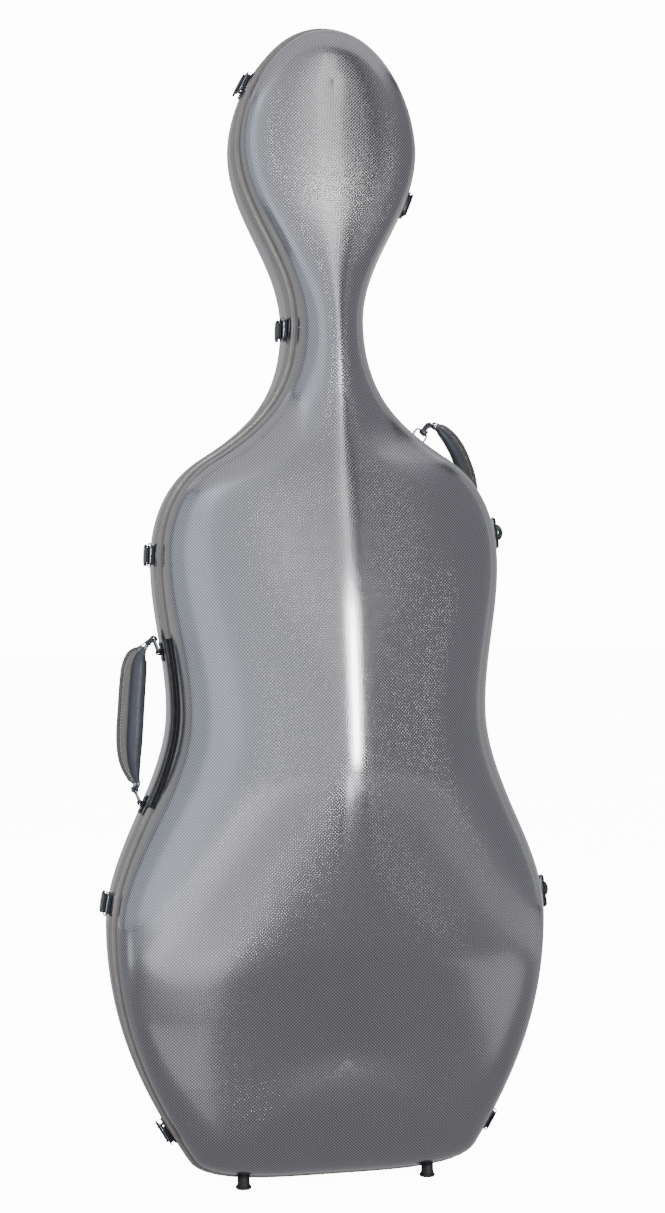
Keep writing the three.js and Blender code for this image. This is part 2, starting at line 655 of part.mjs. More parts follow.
// Padded grip through stations of [place, width, depth], sewn round the outer bars of its two rings
function addGrip(name, between, outwards, barFrames) {
  const [start, end] = barFrames.map((frame) => (
    [new THREE.Vector3().setFromMatrixPosition(frame), gripLoop.width, gripLoop.depth]
  ));
  const stations = [start, ...between, end];
  const rings = stations.map(([place, width, depth], index) => {
    const before = stations[Math.max(index - 1, 0)][0];
    const after = stations[Math.min(index + 1, stations.length - 1)][0];
    const tangent = after.clone().sub(before).normalize();
    const across = outwards.clone().addScaledVector(tangent, -outwards.dot(tangent)).normalize();
    const deep = new THREE.Vector3().crossVectors(tangent, across);
    return gripSectionShares.map(([acrossShare, deepShare]) => (
      place.clone().addScaledVector(across, acrossShare * width).addScaledVector(deep, deepShare * depth)
    ));
  });
  const bore = wireRadius + fit;
  const along = (radius, reach) => barFrames.map((frame) => rod(radius, -reach, reach, 0, 0, frame));
  const loops = along(bore + gripLoop.wall, gripLoop.halfLength);
  const padded = join(toSolid(loft(rings, { caps: true })), ...loops);
  const whole = along(bore, handleRing.halfWidth).reduce((solid, hollow) => solid.subtract(hollow), padded);
  addPiece(object, `${name}_grip`, toGeometry(whole), greyLeather);
}

// Side handle on the left of the base: two equal rings carry the grip, so that it stays parallel to itself
const depthWay = new THREE.Vector3(0, 1, 0);
const sideBore = wireRadius + ringPlays.side;
const leanAngle = THREE.MathUtils.degToRad(ringLean);
const sideRingWay = new THREE.Vector3(-Math.sin(leanAngle), 0, Math.cos(leanAngle));
const sideBars = ["upper", "lower"].map((end) => {
  const seat = baseWall(-1, sideHandleY, sideAnchorHeights[end]);
  addAnchor(`side_handle_${end}_anchor`, seat, depthWay, sideBore);
  return addRing(`side_handle_${end}_wire`, boreCentre(seat), depthWay, sideRingWay);
});
const [sideTop, sideBottom] = sideBars.map((frame) => new THREE.Vector3().setFromMatrixPosition(frame));
const sideDown = sideBottom.clone().sub(sideTop).normalize();
const sideOut = new THREE.Vector3().crossVectors(depthWay, sideDown).normalize();
addGrip("side_handle", sideGrip.map(([share, out, width, depth]) => [
  sideTop.clone().lerp(sideBottom, share).addScaledVector(sideOut, out), width, depth,
]), sideOut, sideBars);

// Shoulder handle on the right of the base: its rings lie loose in their lugs along the outline
const shoulderBore = wireRadius + ringPlays.shoulder;
const shoulderBars = ["upper", "lower"].map((end) => {
  const { y, z } = shoulderAnchors[end];
  const seat = baseWall(1, y, z);
  const near = outlineAt(z);
  const bar = new THREE.Vector3(near.nz, 0, -near.nx);
  addAnchor(`shoulder_handle_${end}_anchor`, seat, bar, shoulderBore);
  const lean = new THREE.Vector3(...shoulderWayShares[end]);
  const way = lean.addScaledVector(bar, -lean.dot(bar)).normalize();
  return addRing(`shoulder_handle_${end}_wire`, boreCentre(seat), bar, way);
});
addGrip("shoulder_handle", shoulderGrip.map(([x, y, z, ...size]) => (
  [new THREE.Vector3(x, y, z), ...size]
)), new THREE.Vector3(1, 0, 0), shoulderBars);

// Space inside the base lining
const innerInset = baseLiningInset + liningThickness + fit;
const innerSpace = toSolid(loft([
  ...skinRings(1, innerInset, baseRimHeight, liningDrop + liningThickness + fit, liningAngles),
  spineRing(baseRimHeight),
]));
const farX = lowerKnot[0];
const farY = baseDepths[1][1];
const cradleBlock = block([-farX, cradle.front, cradle.bottom], [farX, farY, cradle.top]);
const notchShape = new THREE.CylinderGeometry(
  cradle.notchRadius, cradle.notchRadius, (cradle.top - cradle.bottom) * 2, cradle.notchSides,
);
const notchPlace = new THREE.Matrix4().makeTranslation(0, cradle.front, cradle.bottom);
const notch = toSolid(notchShape.rotateX(Math.PI / 2), notchPlace);
addPiece(object, "neck_cradle", toGeometry(cradleBlock.intersect(innerSpace).subtract(notch)), blackPlush);
const padBlock = block([-farX, endPad.front, 0], [farX, farY, endPad.top]);
addPiece(object, "endpin_pad", toGeometry(padBlock.intersect(innerSpace)), blackPlush);

// Strap over the neck, its two feet flat on the front of the cradle
const strapShape = new THREE.Shape();
const strapFront = cradle.front - fit;
const strapInner = strap.halfSpan - strap.foot;
strapShape.moveTo(-strap.halfSpan, strapFront);
strapShape.lineTo(-strapInner, strapFront);
strapShape.quadraticCurveTo(0, strapFront - 2 * strap.rise, strapInner, strapFront);
strapShape.lineTo(strap.halfSpan, strapFront);
strapShape.lineTo(strap.halfSpan, strapFront - strap.thickness);
strapShape.lineTo(strapInner, strapFront - strap.thickness);
strapShape.quadraticCurveTo(
  0, strapFront - strap.thickness - 2 * strap.rise, -strapInner, strapFront - strap.thickness,
);
strapShape.lineTo(-strap.halfSpan, strapFront - strap.thickness);
const strapBand = new THREE.ExtrudeGeometry(strapShape, {
  depth: strap.top - strap.bottom, bevelEnabled: false, curveSegments: 8,
});
addPiece(object, "neck_strap", strapBand, blackPlush).position.set(0, 0, strap.bottom);

// The origin goes to the bottom centre of the whole
object.updateMatrixWorld(true);
const bounds = new THREE.Box3().setFromObject(object, true);
const centre = bounds.getCenter(new THREE.Vector3());
const placed = new THREE.Group();
object.position.set(-centre.x, -centre.y, -bounds.min.z);
placed.add(object);

export default placed;
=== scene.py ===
import json
import math

import bmesh
import bpy
import numpy as np
from mathutils import Matrix, Vector


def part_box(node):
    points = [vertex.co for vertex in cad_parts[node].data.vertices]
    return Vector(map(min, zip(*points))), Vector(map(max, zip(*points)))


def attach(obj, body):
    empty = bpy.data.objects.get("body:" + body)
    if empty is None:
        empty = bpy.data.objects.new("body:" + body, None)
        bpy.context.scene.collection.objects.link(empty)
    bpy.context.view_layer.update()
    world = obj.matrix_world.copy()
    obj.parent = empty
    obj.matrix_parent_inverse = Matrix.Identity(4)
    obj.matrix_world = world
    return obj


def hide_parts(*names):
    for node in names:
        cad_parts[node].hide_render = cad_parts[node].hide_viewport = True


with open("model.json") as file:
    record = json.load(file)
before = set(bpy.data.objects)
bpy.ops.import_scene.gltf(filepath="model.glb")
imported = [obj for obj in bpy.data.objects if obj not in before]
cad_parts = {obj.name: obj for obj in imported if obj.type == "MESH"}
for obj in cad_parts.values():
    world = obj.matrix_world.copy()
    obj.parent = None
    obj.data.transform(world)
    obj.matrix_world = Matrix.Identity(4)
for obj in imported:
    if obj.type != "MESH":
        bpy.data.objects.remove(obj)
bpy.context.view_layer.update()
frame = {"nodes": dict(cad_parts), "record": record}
nodes = frame["nodes"]
print("scene: frame loaded")

# The case's form, in metres. Knots of the half outline: x, z, heading in degrees, handle in, handle out.
# Depths: height, depth. Sections: height, power of the rib's curve, share of the ridge. The lid's lowest rows
# are softer than the solid's, so that no crease forms where the ribs meet
form = {
    "knots": (
        (0, 1.334, 0, 0, 0.068), (0.108, 1.1943, -90, 0.0541, 0.0762), (0.0431, 0.9944, -90, 0.0744, 0.0776),
        (0.1426, 0.8373, -31.9, 0.0756, 0.0508), (0.2023, 0.716, -90, 0.0492, 0.0595),
        (0.1846, 0.5461, -90, 0.0609, 0.0847), (0.2578, 0.2994, -90, 0.0865, 0.1098),
        (0.1706, 0.0338, -122.7, 0.0907, 0.033), (0, 0.008, -180, 0.07, 0),
    ),
    "spanSteps": 24,
    "lidDepths": (
        (0.153, 0.0755), (0.168, 0.077), (0.19, 0.0815), (0.23, 0.0925), (0.276, 0.106), (0.37, 0.123),
        (0.463, 0.137), (0.509, 0.138), (0.602, 0.131), (0.695, 0.119), (0.788, 0.101), (0.881, 0.081),
        (0.974, 0.072), (1.067, 0.06), (1.194, 0.056), (1.264, 0.052),
    ),
    "baseDepths": (
        (0.153, 0.138), (0.3, 0.15), (0.7, 0.15), (0.79, 0.141), (0.88, 0.122), (1.0, 0.105), (1.194, 0.104),
        (1.264, 0.098),
    ),
    "lidSections": (
        (0.153, 2.5, 0), (0.2, 2.6, 0.08), (0.34, 2.9, 0.32), (0.55, 3.2, 0.32), (0.88, 3.2, 0.3),
        (0.994, 3, 0.2), (1.12, 4, 0.08), (1.264, 4, 0.08),
    ),
    "basePower": 2.7, "ridgeCap": 0.022, "wall": 0.003, "rimGap": 0.0013, "flange": 0.0135,
    "ledge": 0.005, "baseRim": 0.014,
}

lidBox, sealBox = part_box("lid_shell"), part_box("rim_seal")
shift = np.array(((lidBox[0].x + lidBox[1].x) / 2, (sealBox[0].y + sealBox[1].y) / 2, 0))


def srgb(code):
    values = [int(code[i:i + 2], 16) / 255 for i in (1, 3, 5)]
    return [v / 12.92 if v <= 0.04045 else ((v + 0.055) / 1.055) ** 2.4 for v in values] + [1]


# Smooth curve through a table's stations, as the solids have it
def stationValue(rows, z, field=1):
    zs = np.array([row[0] for row in rows])
    values = np.array([row[field] for row in rows])
    slopes = np.zeros(len(rows))
    slopes[1:-1] = (values[2:] - values[:-2]) / (zs[2:] - zs[:-2])
    slopes[0] = (values[1] - values[0]) / (zs[1] - zs[0])
    slopes[-1] = (values[-1] - values[-2]) / (zs[-1] - zs[-2])
    z = np.clip(z, zs[0], zs[-1])
    low = np.clip(np.searchsorted(zs, z, side="right") - 1, 0, len(rows) - 2)
    span = zs[low + 1] - zs[low]
    share = (z - zs[low]) / span
    bend = share ** 2 * (3 - 2 * share) * (values[low + 1] - values[low])
    leave = share * (1 - share) ** 2 * slopes[low] * span
    arrive = share ** 2 * (share - 1) * slopes[low + 1] * span
    return values[low] + bend + leave + arrive


# Points of the closed outline with their outward normals: the right half, then its mirror image
def makeOutline():
    points, tangents = [], []
    for index in range(len(form["knots"]) - 1):
        x0, z0, heading0, _, handle0 = form["knots"][index]
        x3, z3, heading3, handle3, _ = form["knots"][index + 1]
        way0 = np.array((math.cos(math.radians(heading0)), math.sin(math.radians(heading0))))
        way3 = np.array((math.cos(math.radians(heading3)), math.sin(math.radians(heading3))))
        start, end = np.array((x0, z0)), np.array((x3, z3))
        second, third = start + way0 * handle0, end - way3 * handle3
        isLast = index == len(form["knots"]) - 2
        for step in range(form["spanSteps"] + isLast):
            t = step / form["spanSteps"]
            s = 1 - t
            points.append(s ** 3 * start + 3 * s * s * t * second + 3 * s * t * t * third + t ** 3 * end)
            way = s * s * (second - start) + 2 * s * t * (third - second) + t * t * (end - third)
            tangents.append(way / np.linalg.norm(way))
    points, tangents = np.array(points), np.array(tangents)
    points[[0, -1], 0] = 0
    normals = np.stack((-tangents[:, 1], tangents[:, 0]), axis=1)
    flip = np.array((-1, 1))
    allPoints = np.concatenate((points, points[1:-1][::-1] * flip))
    allNormals = np.concatenate((normals, normals[1:-1][::-1] * flip))
    return allPoints, allNormals


outline, outlineNormals = makeOutline()
halfCount = (len(outline) + 2) // 2


# Height on the spine from which the rib to an outline point runs
def spineHeight(z):
    crown, head = form["knots"][0][1], form["knots"][1][1]
    lower, bottom = form["knots"][6][1], form["knots"][8][1]
    above = z - (z - head) ** 2 / (2 * (crown - head))
    below = z + (lower - z) ** 2 / (2 * (lower - bottom))
    return np.where(z > head, above, np.where(z < lower, below, z))


spine = spineHeight(outline[:, 1])


def ribRise(side, share, length):
    if side > 0:
        return (1 - share ** form["basePower"]) ** (1 / form["basePower"])
    power = stationValue(form["lidSections"], spine, 1)
    ridge = stationValue(form["lidSections"], spine, 2)
    cap = np.minimum(form["ridgeCap"] / length, 1)
    peak = 1 - cap / 2
    slope = np.where(share < cap, peak - share ** 2 / (2 * cap), 1 - share)
    return (1 - ridge) * (1 - share ** power) ** (1 / power) + ridge * slope / peak


def skinRow(side, inset, rim, drop, share):
    edge = outline - outlineNormals * inset
    length = np.hypot(edge[:, 0], edge[:, 1] - spine)
    depths = stationValue(form["baseDepths"] if side > 0 else form["lidDepths"], spine)
    rise = ribRise(side, min(share, 1), length) if share < 1 else np.zeros(len(edge))
    y = side * (rim + (depths - drop - rim) * rise)
    return np.stack((edge[:, 0] * share, y, spine + (edge[:, 1] - spine) * share), axis=1)


def rimRow(side, inset, y):
    edge = outline - outlineNormals * inset
    return np.stack((edge[:, 0], np.full(len(edge), side * y), edge[:, 1]), axis=1)


# Shares of a rib's length, closer together near the spine and the rim
ribShares = {"near": (0, 0.01, 0.02, 0.035, 0.055, 0.08, 0.11, 0.15, 0.2, 0.26), "power": 1.5}


def shares(fine):
    near = np.array(ribShares["near"])
    start = math.asin(ribShares["near"][-1] ** ribShares["power"])
    angles = np.linspace(start, math.pi / 2, fine)[1:]
    return np.concatenate((near, np.sin(angles) ** (1 / ribShares["power"])))


def shifted(rows):
    return np.asarray(rows) + shift


def circleTurns(steps):
    return np.linspace(0, 2 * math.pi, steps, endpoint=False)


def unit(vectors):
    return vectors / np.linalg.norm(vectors, axis=1)[:, None]


# Mesh through rows of equal length; the map keeps true lengths down each rib for the woven pattern
def gridObject(name, rows, loop=False, caps=False, mapRows=None):
    rows = np.asarray(rows)
    rowCount, count = rows.shape[:2]
    mesh = bpy.data.meshes.new(name)
    faces = []
    for band in range(rowCount if loop else rowCount - 1):
        here, after = band * count, (band + 1) % rowCount * count
        for column in range(count):
            beside = (column + 1) % count
            faces.append((here + column, here + beside, after + beside, after + column))
    if caps:
        faces.append(tuple(range(count))[::-1])
        faces.append(tuple((rowCount - 1) * count + column for column in range(count)))
    mesh.from_pydata(rows.reshape(-1, 3).tolist(), [], faces)
    if mapRows is not None:
        layer = mesh.uv_layers.new(name="weave")
        corners = np.empty(len(mesh.loops), dtype=np.int64)
        mesh.loops.foreach_get("vertex_index", corners)
        layer.data.foreach_set("uv", np.asarray(mapRows).reshape(-1, 2)[corners].ravel())
    work = bmesh.new()
    work.from_mesh(mesh)
    bmesh.ops.remove_doubles(work, verts=work.verts, dist=1e-6)
    bmesh.ops.recalc_face_normals(work, faces=work.faces)
    if work.calc_volume(signed=True) < 0:
        bmesh.ops.reverse_faces(work, faces=work.faces)
    work.to_mesh(mesh)
    work.free()
    smoothFaces(mesh)
    return placed(name, mesh)


def smoothFaces(mesh, smooth=True):
    mesh.polygons.foreach_set("use_smooth", [smooth] * len(mesh.polygons))


def placed(name, data):
    made = bpy.data.objects.new(name, data)
    bpy.context.collection.objects.link(made)
    return made


# Turns an object's modifiers into a plain mesh
def keepResult(made):
    mesh = bpy.data.meshes.new_from_object(made.evaluated_get(bpy.context.evaluated_depsgraph_get()))
    made.modifiers.clear()
    made.data = mesh
    smoothFaces(mesh)
    return mesh


# Gives a piece its body and its look, which is its slot's own unless another is named, and hides the CAD
# nodes that it replaces
def stand(made, body, slot, *replaced, look=None):
    made.data.materials.clear()
    made.data.materials.append(looks[look or slot])
    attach(made, body)
    if replaced:
        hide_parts(*replaced)


# Adds a node, sets its properties and its inputs. An input may be a number, a colour, another node's output,
# or a node, whose first output is then meant
def addNode(tree, kind, inputs=None, **settings):
    node = tree.nodes.new(kind)
    for key, value in settings.items():
        setattr(node, key, value)
    for key, value in (inputs or {}).items():
        if isinstance(value, bpy.types.Node):
            value = value.outputs[0]
        if isinstance(value, bpy.types.NodeSocket):
            tree.links.new(value, node.inputs[key])
        else:
            isColour = isinstance(value, str) and value.startswith("#")
            node.inputs[key].default_value = srgb(value) if isColour else value
    return node


def newMaterial(name, settings):
    material = bpy.data.materials.new(name)
    material.use_nodes = True
    shader = material.node_tree.nodes["Principled BSDF"]
    for socket, value in settings.items():
        shader.inputs[socket].default_value = srgb(value) if isinstance(value, str) else value
    return material, material.node_tree, shader


# Woven composite under clear lacquer: tows 1.9 mm wide cross at right angles, one set brighter than the
# other, with dark gaps between; the eye sees fine diagonals that turn white in a highlight
weaveLook = {
    "tow": 0.0019, "along": "#b4b4b6", "across": "#8c8a8c", "groove": "#575659", "grooveEdge": 0.35,
    "relief": 0.000035, "cloud": 14, "cloudShare": 0.05,
    "shader": {
        "Metallic": 1.0, "Roughness": 0.18, "Coat Weight": 0.8, "Coat Roughness": 0.07, "Coat IOR": 1.5,
    },
}


def weaveMaterial():
    material, tree, shader = newMaterial("Lacquered woven composite", weaveLook["shader"])
    place = addNode(tree, "ShaderNodeUVMap", uv_map="weave").outputs["UV"]
    density = (1 / weaveLook["tow"],) * 3
    tows = addNode(tree, "ShaderNodeVectorMath", {0: place, 1: density}, operation="MULTIPLY")
    steps = addNode(tree, "ShaderNodeVectorMath", {0: tows}, operation="FLOOR")
    parts = addNode(tree, "ShaderNodeVectorMath", {0: tows}, operation="FRACTION")
    steps = addNode(tree, "ShaderNodeSeparateXYZ", {0: steps}).outputs
    parts = addNode(tree, "ShaderNodeSeparateXYZ", {0: parts}).outputs
    total = addNode(tree, "ShaderNodeMath", {0: steps[0], 1: steps[1]}, operation="ADD")
    over = addNode(tree, "ShaderNodeMath", {0: total, 1: 2.0}, operation="FLOORED_MODULO")
    under = addNode(tree, "ShaderNodeMath", {0: 1.0, 1: over}, operation="SUBTRACT")
    arcs = []
    for part, share in ((parts[0], over), (parts[1], under)):
        angle = addNode(tree, "ShaderNodeMath", {0: part, 1: math.pi}, operation="MULTIPLY")
        arc = addNode(tree, "ShaderNodeMath", {0: angle}, operation="SINE")
        arcs.append(addNode(tree, "ShaderNodeMath", {0: arc, 1: share}, operation="MULTIPLY"))
    height = addNode(tree, "ShaderNodeMath", {0: arcs[0], 1: arcs[1]}, operation="ADD")
    depth = addNode(tree, "ShaderNodeMath", {0: height, 1: weaveLook["grooveEdge"]}, operation="POWER")
    spot = addNode(tree, "ShaderNodeTexCoord").outputs["Object"]
    noise = {"Vector": spot, "Scale": weaveLook["cloud"], "Detail": 2.0}
    cloud = addNode(tree, "ShaderNodeTexNoise", noise)
    share = weaveLook["cloudShare"]
    shade = addNode(tree, "ShaderNodeMapRange", {0: cloud, 3: 1 - share, 4: 1 + share})
    crossing = {0: over, 6: weaveLook["across"], 7: weaveLook["along"]}
    tone = addNode(tree, "ShaderNodeMix", crossing, data_type="RGBA").outputs[2]
    gaps = {0: depth, 6: weaveLook["groove"], 7: tone}
    tone = addNode(tree, "ShaderNodeMix", gaps, data_type="RGBA").outputs[2]
    tone = addNode(tree, "ShaderNodeHueSaturation", {"Color": tone, "Value": shade}).outputs[0]
    tree.links.new(tone, shader.inputs["Base Color"])
    bump = addNode(tree, "ShaderNodeBump", {"Height": height, "Distance": weaveLook["relief"]})
    tree.links.new(bump.outputs["Normal"], shader.inputs["Normal"])
    return material


# Plain finishes: two tones of one colour, how rough each is, the grain's scale per metre, how deep it cuts,
# how far it is drawn out along the frame's axes, and other settings of the shader
even, metal = (1, 1, 1), {"Metallic": 1.0}
finishes = {
    # short pile: soft, no gloss, paler where the pile leans
    "plush": ("Black plush", ("#15161a", "#26272d"), (0.95, 1.0), 900, 0.0006, even, {"Sheen Weight": 0.6}),
    # moulded rubber: dull, with the fine pits of a blasted mould
    "rubber": ("Moulded black rubber", ("#0c0d0f", "#191a1c"), (0.5, 0.65), 1500, 0.00004, even, {}),
    # calendered edge strip: dark with a soft shine along its length
    "guard": ("Dark extruded strip", ("#0f1114", "#1c1f23"), (0.25, 0.4), 700, 0.00003, (1, 1, 0.1), {}),
    # rolled profile: fine lines along the rim
    "aluminium": ("Rolled aluminium", ("#a9acb0", "#c6c9cd"), (0.28, 0.42), 1200, 0.00002, (1, 1, 0.15),
                  metal),
    # plated pressings: nearly black with a cloudy shine and small wear marks
    "dark_metal": ("Black nickel plated steel", ("#26282c", "#43464b"), (0.24, 0.4), 260, 0.00002, even,
                   {"Metallic": 0.9}),
    # bright plating: sharp reflections, faint clouding
    "bright_metal": ("Chromed steel", ("#85888d", "#aaadb1"), (0.08, 0.16), 320, 0.00001, even, metal),
    # black chrome: mirror-like ball with a grey-green cast
    "bumper": ("Black chromed dome", ("#4c5252", "#646b6a"), (0.08, 0.16), 240, 0.00001, even, metal),
    # rim moulding: smooth lacquer with a soft warm sheen, no weave
    "rim": ("Lacquered rim moulding", ("#7e7975", "#97918b"), (0.3, 0.42), 500, 0.00001, even,
            {"Metallic": 0.6}),
    # dyed grain leather: pores 2 to 3 mm apart, worn paler on the high spots
    "leather": ("Dyed grain leather", ("#2c2e35", "#4a4d56"), (0.38, 0.54), 420, 0.0005, even, {}),
    # leather of the flap, paler and browner than the padded roll; its paler tone is painted light, standing
    # in for the light that falls on the flap's flat face
    "facing": ("Waxed brown grey leather", ("#3c3837", "#5b5552"), (0.38, 0.55), 380, 0.0004, even, {}),
    # waxed thread: pale, ribbed by its twist
    "thread": ("Waxed grey thread", ("#b4b7ba", "#d2d4d6"), (0.5, 0.65), 2500, 0.00005, even, {}),
}


cloudsPerGrain = 1 / 8


def plainMaterial(name, tones, rough, grain, relief, stretch, settings):
    material, tree, shader = newMaterial(name, settings)
    place = addNode(tree, "ShaderNodeTexCoord").outputs["Object"]
    place = addNode(tree, "ShaderNodeVectorMath", {0: place, 1: stretch}, operation="MULTIPLY")
    clouds = {"Vector": place, "Scale": grain * cloudsPerGrain, "Detail": 3.0}
    cloud = addNode(tree, "ShaderNodeTexNoise", clouds)
    fine = addNode(tree, "ShaderNodeTexNoise", {"Vector": place, "Scale": grain, "Detail": 2.0})
    tone = addNode(tree, "ShaderNodeMix", {0: cloud, 6: tones[0], 7: tones[1]}, data_type="RGBA").outputs[2]
    gloss = addNode(tree, "ShaderNodeMapRange", {0: cloud, 3: rough[0], 4: rough[1]}).outputs[0]
    bump = addNode(tree, "ShaderNodeBump", {"Height": fine, "Distance": relief}).outputs["Normal"]
    for socket, value in (("Base Color", tone), ("Roughness", gloss), ("Normal", bump)):
        tree.links.new(value, shader.inputs[socket])
    return material


looks = {slot: plainMaterial(*finish) for slot, finish in finishes.items()}
looks["shell"] = weaveMaterial()
print("scene: materials made")


# Woven map: distance down the rib from the spine, laid out in the rib's own direction
def ribMap(rows):
    steps = np.linalg.norm(np.diff(rows, axis=0), axis=2)
    run = np.concatenate((np.zeros((1, rows.shape[1])), np.cumsum(steps, axis=0)))
    edge = outline - np.stack((np.zeros(len(spine)), spine), axis=1)
    way = unit(edge)
    return np.stack((way[:, 0] * run, spine + way[:, 1] * run), axis=2)


# Rows of each skin, the rounding of the lid's rim, and how much of it the moulding takes
shellLook = {
    "outer": 34, "inner": 18, "round": 0.0018, "roundSteps": (0, 22.5, 45, 67.5, 90), "moulding": 0.9,
}


def buildShells():
    wall, gap, flange = form["wall"], form["rimGap"], form["flange"]
    ledge, baseRim, corner = form["ledge"], form["baseRim"], shellLook["round"]
    turns = np.radians(shellLook["roundSteps"])
    arc = [(corner * (1 - math.sin(turn)), corner * (1 - math.cos(turn))) for turn in turns]
    outer, inner = shares(shellLook["outer"]), shares(shellLook["inner"])[::-1]
    foot = ((0, gap + corner / 3), (corner / 3, gap), (wall, gap))
    lid = [skinRow(-1, ledge, flange, 0, share) for share in outer[:-1]]
    lid += [rimRow(-1, ledge - across, flange + rise) for rise, across in arc]
    lid += [rimRow(-1, across, flange - rise) for across, rise in arc]
    lid += [rimRow(-1, inset, y) for inset, y in (*foot, (wall, flange - wall))]
    lid += [skinRow(-1, ledge + wall, flange - wall, wall, share) for share in inner]
    base = [skinRow(1, 0, baseRim, 0, share) for share in outer]
    base += [rimRow(1, inset, y) for inset, y in foot]
    base += [skinRow(1, wall, baseRim, wall, share) for share in inner]
    for rows, body in ((lid, "lid"), (base, "base")):
        rows = shifted(rows)
        made = gridObject(body + "Shell", rows, mapRows=ribMap(rows))
        stand(made, body, "shell", body + "_shell")
        if body == "lid":
            made.data.materials.append(looks["rim"])
            edge = shift[1] - flange - corner * shellLook["moulding"]
            for face in made.data.polygons:
                face.material_index = int(face.center.y > edge)


liningLook = {"thickness": 0.005, "fit": 0.0003, "rows": 18, "edgeRows": (0.25, 0.75)}


def buildLinings():
    fit, thick = liningLook["fit"], liningLook["thickness"]
    wall, flange, ledge, baseRim = form["wall"], form["flange"], form["ledge"], form["baseRim"]
    drop, down = wall + fit, shares(liningLook["rows"])
    lid, base = (-1, ledge + wall + fit, flange - wall, "lid"), (1, wall + fit, baseRim, "base")
    for side, inset, rim, body in (base, lid):
        rows = [skinRow(side, inset, rim, drop, share) for share in down]
        rows += [rimRow(side, inset + thick * share, rim) for share in liningLook["edgeRows"]]
        rows += [skinRow(side, inset + thick, rim, drop + thick, share) for share in down[::-1]]
        made = gridObject(body + "Lining", shifted(rows))
        stand(made, body, "plush", body + "_lining")


# Tongue: inset, thickness, from and to along Y. Seal: its gap to the lid
rimLook = {"tongue": (0.0035, 0.0025, -0.008, 0.0134), "sealFit": 0.0003}


def buildRims():
    inset, thick, low, high = rimLook["tongue"]
    corners = ((inset, low), (inset + thick, low), (inset + thick, high), (inset, high))
    tongue = gridObject("tongue", shifted([rimRow(1, x, y) for x, y in corners]), loop=True)
    smoothFaces(tongue.data, False)
    stand(tongue, "base", "aluminium", "base_tongue")
    fit, wall, gap = rimLook["sealFit"], form["wall"], form["rimGap"]
    top = gap - fit
    profile = ((wall, -top), (fit * 2, -top), (fit, -top / 2), (fit, top / 2), (fit * 2, top), (wall, top))
    seal = gridObject("seal", shifted([rimRow(1, x, y) for x, y in profile]), loop=True)
    stand(seal, "base", "rubber", "rim_seal")


buildShells()
buildLinings()
buildRims()
print("scene: shells, linings and rims made")


nodeSlots = {entry["node"]: entry["material_slot"] for entry in frame["record"]["subparts"]}
bodies = frame["record"]["behaviour"]["bodies"]
nodeBodies = {node: body for body, members in bodies.items() for node in members}

# Copies of CAD nodes: how near points are merged, which angles count as flat or as an edge, how wide each
# kind of piece is rounded, and how wires are made smooth
copyLook = {
    "merge": 2e-6, "flat": 1.5, "edge": 40, "segments": 3,
    "rounds": {
        "bracket": 0.0009, "keeper": 0.0009, "lever": 0.0006, "leaf": 0.0005, "anchor": 0.0005,
        "cradle": 0.002, "pad": 0.002, "strap": 0.002,
    },
    "ownLooks": {"lever": "dark_metal"},
    "wires": {"kinds": ("link", "wire"), "faceAngle": 50, "shapeAngle": 60, "levels": 2},
}


def mergedCopy(node, ending, clean):
    mesh = nodes[node].data.copy()
    work = bmesh.new()
    work.from_mesh(mesh)
    bmesh.ops.remove_doubles(work, verts=work.verts, dist=copyLook["merge"])
    clean(work)
    work.to_mesh(mesh)
    work.free()
    return placed(node + ending, mesh)


def dissolveFlats(work):
    bmesh.ops.dissolve_limit(
        work, angle_limit=math.radians(copyLook["flat"]), verts=work.verts, edges=work.edges,
    )


def joinTriangles(work):
    bmesh.ops.join_triangles(
        work, faces=work.faces, angle_face_threshold=math.radians(copyLook["wires"]["faceAngle"]),
        angle_shape_threshold=math.radians(copyLook["wires"]["shapeAngle"]),
    )


def roundedCopy(node, kind):
    made = mergedCopy(node, "_round", dissolveFlats)
    bevel = made.modifiers.new("Round", "BEVEL")
    bevel.width = copyLook["rounds"][kind]
    bevel.segments = copyLook["segments"]
    bevel.limit_method = "ANGLE"
    bevel.angle_limit = math.radians(copyLook["edge"])
    keepResult(made).set_sharp_from_angle(angle=math.radians(copyLook["edge"]))
    stand(made, nodeBodies[node], nodeSlots[node], node, look=copyLook["ownLooks"].get(kind))


def smoothCopy(node):
    made = mergedCopy(node, "_smooth", joinTriangles)
    smooth = made.modifiers.new("Smooth", "SUBSURF")
    smooth.levels = smooth.render_levels = copyLook["wires"]["levels"]
    keepResult(made)
    stand(made, nodeBodies[node], nodeSlots[node], node, look="bright_metal")


for node in sorted(nodes):
    kind = node.split("_")[-1]
    if kind in copyLook["rounds"]:
        roundedCopy(node, kind)
    if kind in copyLook["wires"]["kinds"]:
        smoothCopy(node)
print("scene: plates and wires rounded")


# Body of revolution: profile points are (radius, height along the frame's X)
def latheObject(name, profile, place, sides=56):
    rows = []
    turns = circleTurns(sides)
    for radius, height in profile:
        ring = np.stack((np.full(sides, height), radius * np.cos(turns), radius * np.sin(turns)), axis=1)
        rows.append([place @ Vector(point) for point in ring])
    return gridObject(name, rows, caps=True)


# Bumper: a dome on a flared foot. Its flare gives shares of the radius and heights above the foot. The pin
# has a head at each end
hingeLook = {
    "centres": {"upper": 0.75, "lower": 0.325}, "reach": {"upper": 0.014, "lower": 0.011}, "bumperY": 0.014,
    "radius": 0.01, "foot": -0.0023, "flare": ((0.62, 0), (0.62, 0.0025), (0.97, 0.0042)), "neckLeast": 0.006,
    "domeShare": 0.75, "domeSteps": 15,
    "pin": 0.0014, "head": 0.0025, "headHeight": 0.0014, "headFace": 0.7, "headEdge": 0.0004, "length": 0.035,
    "fit": 0.0003,
}


